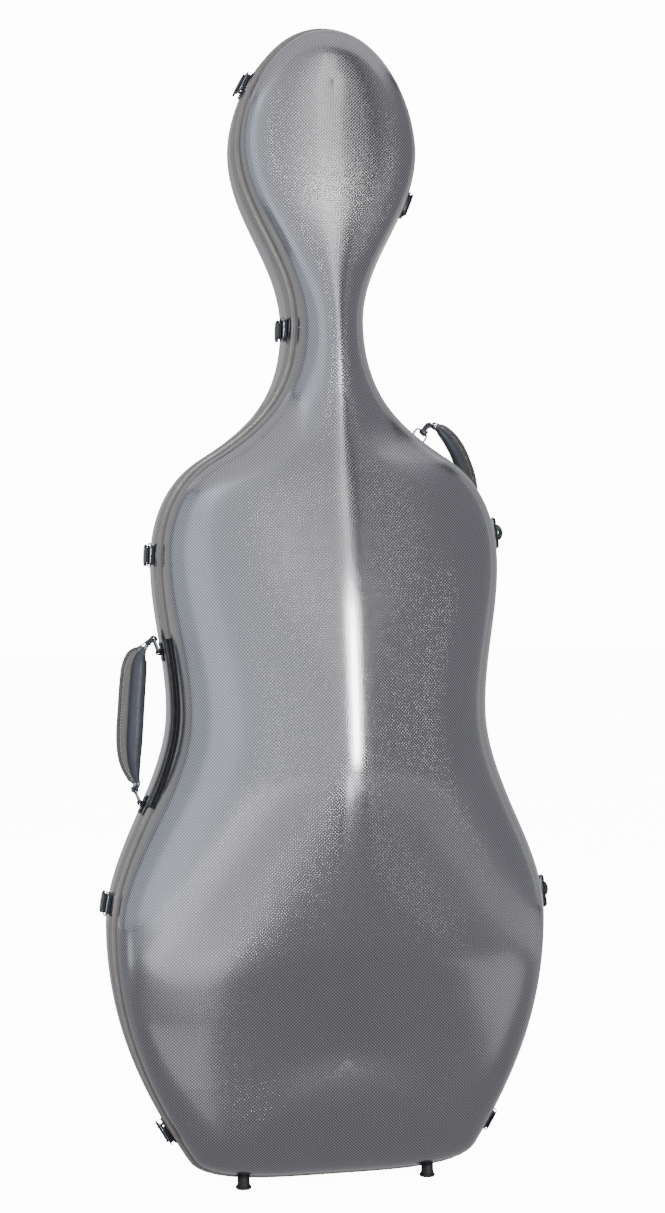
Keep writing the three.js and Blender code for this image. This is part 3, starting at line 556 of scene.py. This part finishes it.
def bumperProfile(reach):
    radius, foot, steps = hingeLook["radius"], hingeLook["foot"], hingeLook["domeSteps"]
    neck = reach - radius * hingeLook["domeShare"]
    profile = [(radius * share, foot + rise) for share, rise in hingeLook["flare"]]
    profile.append((radius, max(neck, foot + hingeLook["neckLeast"])))
    for step in range(1, steps):
        angle = math.radians(90 * step / steps)
        profile.append((radius * math.cos(angle), neck + (reach - neck) * math.sin(angle)))
    return profile


def pinProfile():
    half, pin, head = hingeLook["length"] / 2, hingeLook["pin"], hingeLook["head"]
    end, top = half + hingeLook["fit"], half + hingeLook["headHeight"]
    face, edge = head * hingeLook["headFace"], top - hingeLook["headEdge"]
    lower = [(face, -top), (head, -edge), (head, -end), (pin, -end)]
    return lower + [(radius, -height) for radius, height in lower[::-1]]


def buildHinges():
    joint = next(j for j in frame["record"]["behaviour"]["joints"] if j["name"] == "lid_hinge")
    axis, start, back = Vector(joint["axis"]).normalized(), Vector(joint["pos_m"]), Vector((0, 1, 0))
    turn = Matrix((back.cross(axis), back, axis)).transposed().to_4x4()
    for name, height in hingeLook["centres"].items():
        place = Matrix.Translation(start + axis * ((height - start.z) / axis.z)) @ turn
        spot = place @ Matrix.Translation((0, hingeLook["bumperY"], 0))
        dome = latheObject(name + "Bumper", bumperProfile(hingeLook["reach"][name]), spot)
        stand(dome, "base", "dark_metal", name + "_bumper", look="bumper")
        pin = latheObject(name + "Pin", pinProfile(), place @ Matrix.Rotation(math.radians(-90), 4, "Y"))
        stand(pin, "base", "bright_metal", name + "_hinge_pin")


buildHinges()

# Feet end on the shell's underside, found by a ray from below
footLook = {
    "places": {"lid_foot_left": (-0.109, -0.02), "lid_foot_right": (0.109, -0.02),
               "base_foot_left": (-0.109, 0.07), "base_foot_right": (0.109, 0.07)},
    "profile": (
        (0.0076, 0), (0.0086, 0.0003), (0.0092, 0.0012), (0.0092, 0.0028), (0.0088, 0.0035),
        (0.0077, 0.0042), (0.0074, 0.006), (0.0072, 0.009),
    ),
    "topRadius": 0.0069, "sink": 0.0006, "height": 0.016, "sides": 48,
}


def buildFeet():
    graph = bpy.context.evaluated_depsgraph_get()
    turns = circleTurns(footLook["sides"])
    circle = np.stack((np.cos(turns), np.sin(turns), np.zeros(len(turns))), axis=1)
    for name, (x, y) in footLook["places"].items():
        body = name.split("_")[0]
        shell = bpy.data.objects[body + "Shell"].evaluated_get(graph)
        centre = np.array((x, y, 0)) + shift
        rows = [centre + circle * radius + np.array((0, 0, height)) for radius, height in footLook["profile"]]
        top = centre + circle * footLook["topRadius"]
        for point in top:
            found, hit, _, _ = shell.ray_cast(Vector(point), Vector((0, 0, 1)))
            point[2] = hit.z + footLook["sink"] if found else footLook["height"]
        rows.append(top)
        stand(gridObject(name + "_round", rows, caps=True), body, "rubber", name)


buildFeet()

# Guard strip: an angle that covers the side of the lid's rim and the front of its ledge at the waist. Seam
# and lip: from and to in height, at the seam between the shells and at the front
guardLook = {
    "seam": (0.64, 0.428), "lip": (0.629, 0.439), "steps": 90, "fit": 0.0003, "thickness": 0.0012,
    "front": 0.0007, "cover": 0.004, "seamEdge": (0.6, 0.0006), "lipEdge": (0.7, 0.0001),
}


def guardSection(seamY, lipY):
    fit, thick, cover = guardLook["fit"], guardLook["thickness"], guardLook["cover"]
    corner = lipY + guardLook["front"]
    (seamShare, seamDrop), (lipShare, lipDrop) = guardLook["seamEdge"], guardLook["lipEdge"]
    return (
        (fit, seamY), (fit + thick * seamShare, seamY), (fit + thick, seamY + seamDrop), (fit + thick, lipY),
        (fit + thick * lipShare, corner - lipDrop), (fit, corner), (-cover, corner),
        (-cover - guardLook["front"], lipY), (fit, lipY),
    )


def buildGuard():
    points, normals = outline[:halfCount], outlineNormals[:halfCount]
    order = np.argsort(points[:, 1])
    columns = [values[order] for values in (points[:, 0], normals[:, 0], normals[:, 1])]
    seamY, lipY = form["rimGap"] + guardLook["thickness"], form["flange"] + guardLook["fit"]
    section, rows = guardSection(seamY, lipY), []
    seamZ, lipZ = (np.linspace(*guardLook[side], guardLook["steps"]) for side in ("seam", "lip"))
    for z0, z1 in zip(seamZ, lipZ):
        ring = []
        for out, y in section:
            z = z0 + (z1 - z0) * min(1, (y - seamY) / (lipY - seamY))
            x, nx, nz = (np.interp(z, points[order, 1], column) for column in columns)
            ring.append((-x - nx * out, -y, z + nz * out))
        rows.append(ring)
    stand(gridObject("guard", shifted(rows), caps=True), "lid", "guard", "waist_guard")


buildGuard()
print("scene: hinges, feet and guard made")

# Padded grips: a round roll on the case side, and outside it a flat flap sewn along its piped edge
gripLook = {
    # side handle: share of the way between its two rings, distance outwards, width, depth
    "sideStations": (
        (0.025, 0.0055, 0.0066, 0.009), (0.055, 0.0092, 0.0074, 0.0105), (0.085, 0.0126, 0.014, 0.014),
        (0.121, 0.0161, 0.0234, 0.019), (0.155, 0.0176, 0.0273, 0.022), (0.223, 0.0183, 0.0305, 0.025),
        (0.474, 0.016, 0.0314, 0.026), (0.684, 0.0133, 0.0308, 0.026), (0.812, 0.0099, 0.0258, 0.022),
        (0.908, 0.0041, 0.017, 0.016), (0.961, -0.001, 0.008, 0.0105),
    ),
    # shoulder handle: place, width, depth
    "shoulderStations": (
        (0.1305, 0.0355, 0.8765, 0.0065, 0.008), (0.1375, 0.0365, 0.8798, 0.007, 0.009),
        (0.145, 0.0365, 0.8778, 0.009, 0.01), (0.151, 0.0365, 0.874, 0.0144, 0.014),
        (0.16, 0.039, 0.866, 0.018, 0.017), (0.172, 0.046, 0.852, 0.0204, 0.019),
        (0.1816, 0.0555, 0.8374, 0.0212, 0.02), (0.1925, 0.0685, 0.8185, 0.021, 0.02),
        (0.201, 0.083, 0.793, 0.0195, 0.018), (0.2055, 0.0945, 0.769, 0.015, 0.015),
        (0.2068, 0.1, 0.757, 0.009, 0.01), (0.2065, 0.1045, 0.748, 0.007, 0.008),
    ),
    "steps": 150, "ring": {"reach": 0.0165, "lean": 21, "bar": 0.75},
    # section, in shares of the width. Of the depth: the roll's height, the flap's most. Of the pipe's radius:
    # toPipe, gap. Of the roll: its end. In metres: the flap's half, the pipe's radius. In radians: its start
    "roll": {"middle": -0.2, "half": 0.3, "height": 0.46, "end": 0.98, "steps": 19},
    "flap": {"half": 0.0019, "most": 0.2, "from": 0.1, "steps": 6, "toPipe": 1.2},
    "pipe": {"radius": 0.0017, "most": 0.12, "gap": 2.2, "start": 0.12, "steps": 9},
    # share of the width from which the flap takes its paler leather, a painted light
    "facingFrom": 0.12, "cord": {"radius": 0.0009, "inset": 2.1, "aside": (0.3, 1, 0.2), "sides": 8},
    "loop": {
        "bore": 0.0018, "outer": 0.0042, "halfLength": 0.0045, "round": 0.0007, "sides": 40, "width": 0.006,
        "depth": 0.008,
    },
    "collar": {"width": 0.0088, "steps": 5, "grow": 1.16, "ends": 1.02},
    "stitch": {
        "sizes": {"Spacing": 0.0034, "Length": 0.0022, "Radius": 0.0006}, "inset": 0.0044, "from": 0.014,
    },
}


# Half depths across the section, from the roll on the case side, -0.5, to the piped edge, 0.5
def flapSection(width, depth):
    rollLook, flapLook, pipeLook = gripLook["roll"], gripLook["flap"], gripLook["pipe"]
    pipe = min(pipeLook["radius"], width * pipeLook["most"])
    flap = min(flapLook["half"], depth * flapLook["most"], pipe * flapLook["toPipe"])
    rollTurns = np.linspace(0, math.pi, rollLook["steps"])
    pipeTurns = np.linspace(pipeLook["start"], math.pi, pipeLook["steps"])
    across = width * np.concatenate((
        -0.5 + 2 * rollLook["half"] * (1 - np.cos(rollTurns)) / 2 * rollLook["end"],
        np.linspace(flapLook["from"], 0.5 - pipeLook["gap"] * pipe / width, flapLook["steps"]),
        0.5 - pipe / width * (1 + np.cos(pipeTurns)),
    ))
    middle, reach, edge = rollLook["middle"] * width, rollLook["half"] * width, width / 2 - pipe
    roll = rollLook["height"] * depth * np.sqrt(np.clip(1 - ((across - middle) / reach) ** 2, 0, None))
    bead = np.sqrt(np.clip(pipe ** 2 - (across - edge) ** 2, 0, None))
    half = np.maximum(roll, np.where((across > middle) & (across < edge), flap, 0))
    return across, np.maximum(half, bead), flap


# A grip's stations, the way from the case outwards, and the two ring bars that its ends are folded round
def gripFrames(name):
    if name == "side_handle":
        ringJoints = {j["name"]: Vector(j["pos_m"]) for j in frame["record"]["behaviour"]["joints"]}
        lean = math.radians(gripLook["ring"]["lean"])
        way = Vector((-math.sin(lean), 0, math.cos(lean))) * gripLook["ring"]["reach"]
        names = [f"side_handle_{end}_ring_turn" for end in ("upper", "lower")]
        top, bottom = (np.array(ringJoints[name] + way) for name in names)
        down = (bottom - top) / np.linalg.norm(bottom - top)
        outwards = np.cross((0, 1, 0), down)
        stations = [(*(top + (bottom - top) * share + outwards * out), width, depth)
                    for share, out, width, depth in gripLook["sideStations"]]
        bars = [(top, np.array((0, 1, 0))), (bottom, np.array((0, 1, 0)))]
    else:
        outwards = np.array((1.0, 0, 0))
        stations = [(x + shift[0], y + shift[1], z, *size) for x, y, z, *size in gripLook["shoulderStations"]]
        bars = [outerBar("shoulder_handle_upper_wire", np.array(stations[0][:3])),
                outerBar("shoulder_handle_lower_wire", np.array(stations[-1][:3]))]
    loop = gripLook["loop"]
    ends = [(*place, loop["width"], loop["depth"]) for place, _ in bars]
    return np.array([ends[0], *stations, ends[1]]), outwards, bars


# A ring's outer bar: middle and direction of the wire's points that reach furthest towards the grip
def outerBar(node, near):
    points = np.array([tuple(vertex.co) for vertex in nodes[node].data.vertices])
    middle = points.mean(axis=0)
    reach = (points - middle) @ (near - middle)
    bar = points[reach > reach.max() * gripLook["ring"]["bar"]]
    centre = (bar.min(axis=0) + bar.max(axis=0)) / 2
    return centre, np.linalg.svd(bar - bar.mean(axis=0))[2][0]


# The grip's rows, its map, and for each row the places of its stitches, cords and rivets on both faces
def gripRows(stations, outwards):
    run = np.concatenate(((0,), np.cumsum(np.linalg.norm(np.diff(stations[:, :3], axis=0), axis=1))))
    table = [(run[i], *stations[i]) for i in range(len(run))]
    at = np.linspace(0, run[-1], gripLook["steps"])
    values = np.stack([stationValue(table, at, field) for field in range(1, 6)], axis=1)
    middle = values[:, :3]
    tangents = unit(np.gradient(middle, axis=0))
    across = unit(outwards - tangents * (tangents @ outwards)[:, None])
    deep = np.cross(tangents, across)
    rows, edges, maps = [], [], []
    roll, cordInset = gripLook["roll"], gripLook["cord"]["inset"] * gripLook["pipe"]["radius"]
    for i, (width, depth) in enumerate(values[:, 3:]):
        offsets, half, flap = flapSection(width, depth)
        upper = middle[i] + across[i] * offsets[:, None] + deep[i] * half[:, None]
        lower = middle[i] + across[i] * offsets[1:-1, None] - deep[i] * half[1:-1, None]
        rows.append(np.concatenate((upper, lower[::-1])))
        places = np.concatenate((offsets, offsets[1:-1][::-1])) / width
        maps.append(np.stack((places, np.full(len(places), at[i])), axis=1))
        line = middle[i] + across[i] * (width / 2 - gripLook["stitch"]["inset"])
        cord = middle[i] + across[i] * (width / 2 - cordInset)
        back, rise = middle[i] + across[i] * roll["middle"] * width, deep[i] * roll["height"] * depth
        edges.append({
            "width": width, "way": deep[i], "rivet": (back + rise, back - rise),
            "stitch": (line + deep[i] * flap, line - deep[i] * flap),
            "cord": (cord + deep[i] * flap, cord - deep[i] * flap),
        })
    return rows, edges, maps


def buildGrips():
    collar = gripLook["collar"]
    for name in ("side_handle", "shoulder_handle"):
        stations, outwards, bars = gripFrames(name)
        rows, edges, maps = gripRows(stations, outwards)
        grip = gridObject(name + "Grip", rows, caps=True, mapRows=maps)
        stand(grip, name, "leather", name + "_grip")
        paintFlap(grip)
        for index, (place, way) in enumerate(bars):
            buildLoop(f"{name}Loop{index + 1}", name, place, way)
        wide = [edge for edge in edges if edge["width"] > gripLook["stitch"]["from"]]
        buildStitches(name + "Stitches", name, [[edge["stitch"][side] for edge in wide] for side in (0, 1)])
        for side in (0, 1):
            tubeObject(f"{name}Piping{side + 1}", name, [edge["cord"][side] for edge in wide])
        for end, order in (("Upper", range(len(rows))), ("Lower", range(len(rows) - 1, -1, -1))):
            first = next(i for i in order if edges[i]["width"] > collar["width"])
            start, stop = sorted((first, first - order.step * collar["steps"]))
            buildCollar(f"{name}{end}Collar", name, rows[start:stop + 1])
            spot = edges[(first + order[0]) // 2]
            spots = list(zip(spot["rivet"], (spot["way"], -spot["way"])))
            addRivets(f"{name}{end}Rivets", name, spots, rivetLook["grip"])


# The outer half of the grip takes the flap's leather, paler and browner than the roll; the paler tone is
# painted light on the flap's flat face
def paintFlap(grip):
    grip.data.materials.append(looks["facing"])
    spots = grip.data.uv_layers["weave"].data
    for face in grip.data.polygons:
        share = sum(spots[corner].uv[0] for corner in face.loop_indices) / face.loop_total
        face.material_index = int(share > gripLook["facingFrom"])


# Piping cord along a line
def tubeObject(name, body, line):
    cord, line = gripLook["cord"], np.array(line)
    tangents = unit(np.gradient(line, axis=0))
    side = unit(np.cross(tangents, cord["aside"]))
    other = np.cross(tangents, side)
    turns = circleTurns(cord["sides"])
    rows = []
    for i in range(len(line)):
        ring = np.outer(np.cos(turns), side[i]) + np.outer(np.sin(turns), other[i])
        rows.append(line[i] + cord["radius"] * ring)
    stand(gridObject(name, rows, caps=True), body, "leather")


# Bright ferrule round the narrow neck at each end of a grip
def buildCollar(name, body, rows):
    made, collar = [], gripLook["collar"]
    for i, row in enumerate(rows):
        centre = row.mean(axis=0)
        size = collar["grow"] if 0 < i < len(rows) - 1 else collar["ends"]
        made.append(centre + (row - centre) * size)
    stand(gridObject(name, made, caps=True), body, "bright_metal")


# Leather band folded round a ring's bar
def buildLoop(name, body, place, way):
    loop = gripLook["loop"]
    turn = Vector(way).to_track_quat("X", "Z").to_matrix().to_4x4()
    bore, outer, half, soft = loop["bore"], loop["outer"], loop["halfLength"], loop["round"]
    profile = ((bore, half - soft), (bore + soft, half), (outer - soft, half), (outer, half - soft))
    section = [*profile, *[(radius, -along) for radius, along in profile[::-1]]]
    spot, rows = Matrix.Translation(Vector(place)) @ turn, []
    for angle in circleTurns(loop["sides"]):
        ring = [(along, radius * math.cos(angle), radius * math.sin(angle)) for radius, along in section]
        rows.append([spot @ Vector(point) for point in ring])
    stand(gridObject(name, rows, loop=True), body, "leather")


# A tree's named inputs, with the material as the last of them
def openTree(name, sizes):
    tree = bpy.data.node_groups.new(name, "GeometryNodeTree")
    tree.interface.new_socket("Geometry", in_out="INPUT", socket_type="NodeSocketGeometry")
    for title, value in sizes.items():
        tree.interface.new_socket(title, in_out="INPUT", socket_type="NodeSocketFloat").default_value = value
    tree.interface.new_socket("Material", in_out="INPUT", socket_type="NodeSocketMaterial")
    tree.interface.new_socket("Geometry", in_out="OUTPUT", socket_type="NodeSocketGeometry")
    return tree, addNode(tree, "NodeGroupInput").outputs


# A tree's end: real geometry with its material
def closeTree(tree, given, copies):
    real = addNode(tree, "GeometryNodeRealizeInstances", {"Geometry": copies})
    finish = {"Geometry": real, "Material": given["Material"]}
    painted = addNode(tree, "GeometryNodeSetMaterial", finish)
    addNode(tree, "NodeGroupOutput", {"Geometry": painted})
    return tree


# Geometry Nodes: short threads along a line, turned to follow it
def threadTree():
    tree, given = openTree("Thread row", gripLook["stitch"]["sizes"])
    curve = addNode(tree, "GeometryNodeMeshToCurve", {"Mesh": given["Geometry"]})
    steps = {"Curve": curve, "Length": given["Spacing"]}
    spaced = addNode(tree, "GeometryNodeResampleCurve", steps, mode="LENGTH")
    tangent = addNode(tree, "GeometryNodeInputTangent")
    turn = addNode(tree, "FunctionNodeAlignRotationToVector", {"Vector": tangent}, axis="Z")
    half = addNode(tree, "ShaderNodeMath", {0: given["Length"], 1: 0.5}, operation="MULTIPLY")
    ratio = addNode(tree, "ShaderNodeMath", {0: half, 1: given["Radius"]}, operation="DIVIDE")
    stretch = addNode(tree, "ShaderNodeCombineXYZ", {0: 1.0, 1: 1.0, 2: ratio})
    sphere = {"Segments": 6, "Rings": 5, "Radius": given["Radius"]}
    ball = addNode(tree, "GeometryNodeMeshUVSphere", sphere)
    thread = addNode(tree, "GeometryNodeTransform", {"Geometry": ball, "Scale": stretch})
    parts = {"Points": spaced, "Instance": thread, "Rotation": turn}
    return closeTree(tree, given, addNode(tree, "GeometryNodeInstanceOnPoints", parts))


# Rivet heads on the ends of the grips, and four on each hinge leaf and anchor. Share: how far those lie from
# the plate's middle, of its size. Facing: how squarely a face looks outwards to count for the plate's
# direction. Flat: how squarely the plate meets the ray that finds a rivet's place. Start: how far out that
# ray begins
rivetLook = {
    "plate": {"Radius": 0.0017, "Height": 0.0006}, "grip": {"Radius": 0.0024, "Height": 0.0009},
    "share": 0.36, "facing": 0.6, "flat": 0.9, "start": 0.03,
}


# Geometry Nodes: domed rivet heads on points, each turned to the direction stored with its point
def rivetTree():
    tree, given = openTree("Rivet heads", rivetLook["plate"])
    way = addNode(tree, "GeometryNodeInputNamedAttribute", {"Name": "way"}, data_type="FLOAT_VECTOR")
    turn = addNode(tree, "FunctionNodeAlignRotationToVector", {"Vector": way}, axis="Z")
    sizes = {0: given["Height"], 1: given["Radius"]}
    ratio = addNode(tree, "ShaderNodeMath", sizes, operation="DIVIDE")
    squat = addNode(tree, "ShaderNodeCombineXYZ", {0: 1.0, 1: 1.0, 2: ratio})
    sphere = {"Segments": 20, "Rings": 10, "Radius": given["Radius"]}
    ball = addNode(tree, "GeometryNodeMeshUVSphere", sphere)
    head = addNode(tree, "GeometryNodeTransform", {"Geometry": ball, "Scale": squat})
    parts = {"Points": given["Geometry"], "Instance": head, "Rotation": turn}
    return closeTree(tree, given, addNode(tree, "GeometryNodeInstanceOnPoints", parts))


# Runs a tree on a bare mesh and keeps its result as a plain mesh
def grow(name, tree, points, edges, settings, attributes=None):
    mesh = bpy.data.meshes.new(name)
    mesh.from_pydata([tuple(point) for point in points], edges, [])
    for key, vectors in (attributes or {}).items():
        layer = mesh.attributes.new(key, "FLOAT_VECTOR", "POINT")
        layer.data.foreach_set("vector", np.asarray(vectors, dtype=float).ravel())
    made = placed(name, mesh)
    modifier = made.modifiers.new("Grow", "NODES")
    modifier.node_group = tree
    for item in tree.interface.items_tree:
        if item.in_out == "INPUT" and item.name in settings:
            modifier[item.identifier] = settings[item.name]
    keepResult(made)
    return made


trees = {"thread": threadTree(), "rivet": rivetTree()}


def addRivets(name, body, spots, sizes):
    settings = {**sizes, "Material": looks["dark_metal"]}
    ways = [way for _, way in spots]
    made = grow(name, trees["rivet"], [place for place, _ in spots], [], settings, {"way": ways})
    stand(made, body, "dark_metal")


def buildStitches(name, body, lines):
    points, edges = [point for line in lines for point in line], []
    for first in (0, len(lines[0])):
        edges += [(first + i, first + i + 1) for i in range(len(lines[0]) - 1)]
    settings = {**gripLook["stitch"]["sizes"], "Material": looks["thread"]}
    made = grow(name, trees["thread"], points, edges, settings)
    stand(made, body, "leather", look="thread")


buildGrips()
print("scene: grips made")


# Four rivets on a plate's face, the one that looks away from the case's middle, found by rays from outside
def plateRivets(node):
    low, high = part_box(node)
    centre, size = (low + high) / 2, (high - low) * rivetLook["share"]
    side = Vector((1 if centre.x > shift[0] else -1, 0, 0))
    flats = [face for face in nodes[node].data.polygons if face.normal.dot(side) > rivetLook["facing"]]
    way = sum((face.normal * face.area for face in flats), Vector()).normalized()
    upright = (Vector((0, 0, 1)) - way * way.z).normalized()
    level = way.cross(upright)
    solid = bpy.data.objects[node + "_round"].evaluated_get(bpy.context.evaluated_depsgraph_get())
    spots = []
    for up, across in ((-1, -1), (1, -1), (-1, 1), (1, 1)):
        spot = centre + upright * up * size.z + level * across * size.y
        found, hit, facing, _ = solid.ray_cast(spot + way * rivetLook["start"], -way)
        if found and facing.dot(way) > rivetLook["flat"]:
            spots.append((hit, facing))
    return spots


def buildRivets():
    plates = [node for node in sorted(nodes) if node.endswith(("leaf", "anchor"))]
    for body in ("base", "lid"):
        spots = [spot for node in plates if nodeBodies[node] == body for spot in plateRivets(node)]
        if spots:
            addRivets(body + "Rivets", body, spots, rivetLook["plate"])
            print("scene: rivets on the", body, len(spots))


buildRivets()

for node, thing in nodes.items():
    thing.data.materials.clear()
    thing.data.materials.append(looks[nodeSlots[node]])

# Pale floor, soft studio lights and the camera. The lens: 36 mm sensor, focal length of 2236 in pixels of a
# picture 1213 pixels high
studio = {
    "white": 14.0, "ambient": ("#96969c", 0.2), "floor": "#f4f5f6", "floorGlow": 13.0, "floorSize": 60,
    "distance": 2.6, "yaw": 13.4, "roll": 0.5, "height": 0.6646, "lens": 36 * 2236 / 1213,
    "shift": 5.2 / 1213,
    # upright lights, all this far away: degrees to the left of the front, height of the centre, width, height
    # of the light, watts, colour. A strip and a brow make the highlight along the ridge; walls stand round
    "lightDistance": 3.2,
    "lights": {
        "strip": (-12.5, 0.9, 0.42, 1.22, 70, "#ffffff"), "brow": (-12.5, 2.4, 0.36, 1, 3.6, "#ffffff"),
        "frontWall": (2, 1.68, 1.45, 3.45, 14.5, "#f7f9ff"),
        "leftWall": (27.5, 1.68, 1.42, 3.45, 17, "#f2f6ff"),
        "sideWall": (55, 1.68, 1.71, 3.45, 29, "#eaf3ff"), "farWall": (90, 1.68, 2.33, 3.45, 25, "#e8f2ff"),
        "fill": (-67, 1.68, 5.4, 3.45, 21, "#f4f6ff"), "back": (-140, 1.68, 5.0, 3.45, 26, "#fafbff"),
        "backLeft": (127, 1.68, 1.5, 3.45, 9, "#fafbff"), "backMiddle": (160, 1.68, 2.4, 3.45, 13, "#fafbff"),
    },
    # level lights overhead and under the floor: their height, and for each its middle and size along X and Y,
    # and watts
    "levelColour": "#f6f8ff",
    "levels": (
        (3.6, {"roof": ((0, -1.6), (6.4, 3.4), 68), "backRoof": ((0, 1.4), (6.4, 2.4), 44)}),
        (-0.05, {
            "floorBack": ((0, 1.75), (5.6, 3.3), 23), "floorBase": ((0, -0.65), (2.6, 1.5), 4),
            "floorFarLeft": ((-1.95, -0.08), (1.3, 0.35), 2.3),
            "floorOuterLeft": ((-1.95, -0.82), (1.3, 1.15), 3), "floorLeft": ((-1.05, -1), (0.5, 0.8), 2),
            "floorInnerLeft": ((-0.52, -1), (0.55, 0.8), 1.7),
            "floorStepLeft": ((-0.52, -0.42), (0.55, 0.35), 0.33),
            "floorStepRight": ((0.75, -0.42), (0.5, 0.35), 0.23),
            "floorFrontLeft": ((-1.7, -2.3), (1.8, 1.8), 19),
            "floorFrontMiddle": ((-0.52, -2.3), (0.55, 1.8), 3),
            "floorStrip": ((0.14, -2.42), (0.28, 1.56), 9), "floorStripWide": ((0.55, -2.5), (0.54, 1.4), 7),
            "floorFrontRight": ((1.9, -2.3), (2.2, 1.8), 6), "floorRight": ((2.25, -0.4), (1.9, 2), 8),
        }),
    ),
}


def addLight(name, place, size, power, colour, aim):
    light = bpy.data.lights.new(name, "AREA")
    light.shape = "RECTANGLE"
    light.size, light.size_y = size
    light.energy = power
    light.color = srgb(colour)[:3]
    thing = placed(name, light)
    thing.location = place
    thing.rotation_euler = aim.to_track_quat("-Z", "Y").to_euler()


def buildStudio():
    bpy.ops.mesh.primitive_plane_add(size=studio["floorSize"], location=(0, 0, 0))
    floor = bpy.context.object
    glow = {
        "Base Color": studio["floor"], "Roughness": 0.9, "Emission Color": "#ffffff",
        "Emission Strength": studio["floorGlow"],
    }
    floor.data.materials.append(newMaterial("Pale studio floor", glow)[0])
    floor.visible_glossy = floor.visible_diffuse = floor.visible_shadow = False
    world = bpy.data.worlds.new("Studio")
    world.use_nodes = True
    tree = world.node_tree
    tree.nodes.clear()
    seen = addNode(tree, "ShaderNodeLightPath").outputs["Is Camera Ray"]
    colour, strength = studio["ambient"]
    dim = addNode(tree, "ShaderNodeBackground", {"Color": colour, "Strength": strength})
    white = addNode(tree, "ShaderNodeBackground", {"Color": "#ffffff", "Strength": studio["white"]})
    mixed = addNode(tree, "ShaderNodeMixShader", {0: seen, 1: dim, 2: white})
    addNode(tree, "ShaderNodeOutputWorld", {"Surface": mixed})
    bpy.context.scene.world = world
    distance = studio["lightDistance"]
    for name, (azimuth, height, width, tall, power, colour) in studio["lights"].items():
        turn = math.radians(azimuth)
        place = Vector((-distance * math.sin(turn), -distance * math.cos(turn), height))
        addLight(name, place, (width, tall), power, colour, Vector((0, 0, height)) - place)
    for height, group in studio["levels"]:
        way = Vector((0, 0, -1 if height > 0 else 1))
        for name, (middle, size, power) in group.items():
            addLight(name, Vector((*middle, height)), size, power, studio["levelColour"], way)


def buildCamera():
    yaw, roll = math.radians(studio["yaw"]), math.radians(studio["roll"])
    ahead = Vector((math.sin(yaw), math.cos(yaw), 0))
    right = Vector((math.cos(yaw), -math.sin(yaw), 0))
    up = Vector((0, 0, 1))
    rolledRight = right * math.cos(roll) - up * math.sin(roll)
    rolledUp = up * math.cos(roll) + right * math.sin(roll)
    camera = placed("camera", bpy.data.cameras.new("camera"))
    turn = Matrix((rolledRight, rolledUp, -ahead)).transposed().to_4x4()
    place = Vector((shift[0], shift[1], studio["height"])) - ahead * studio["distance"]
    camera.matrix_world = Matrix.Translation(place) @ turn
    camera.data.lens = studio["lens"]
    camera.data.shift_x = studio["shift"]
    bpy.context.scene.camera = camera


buildStudio()
buildCamera()
print("scene: studio ready")
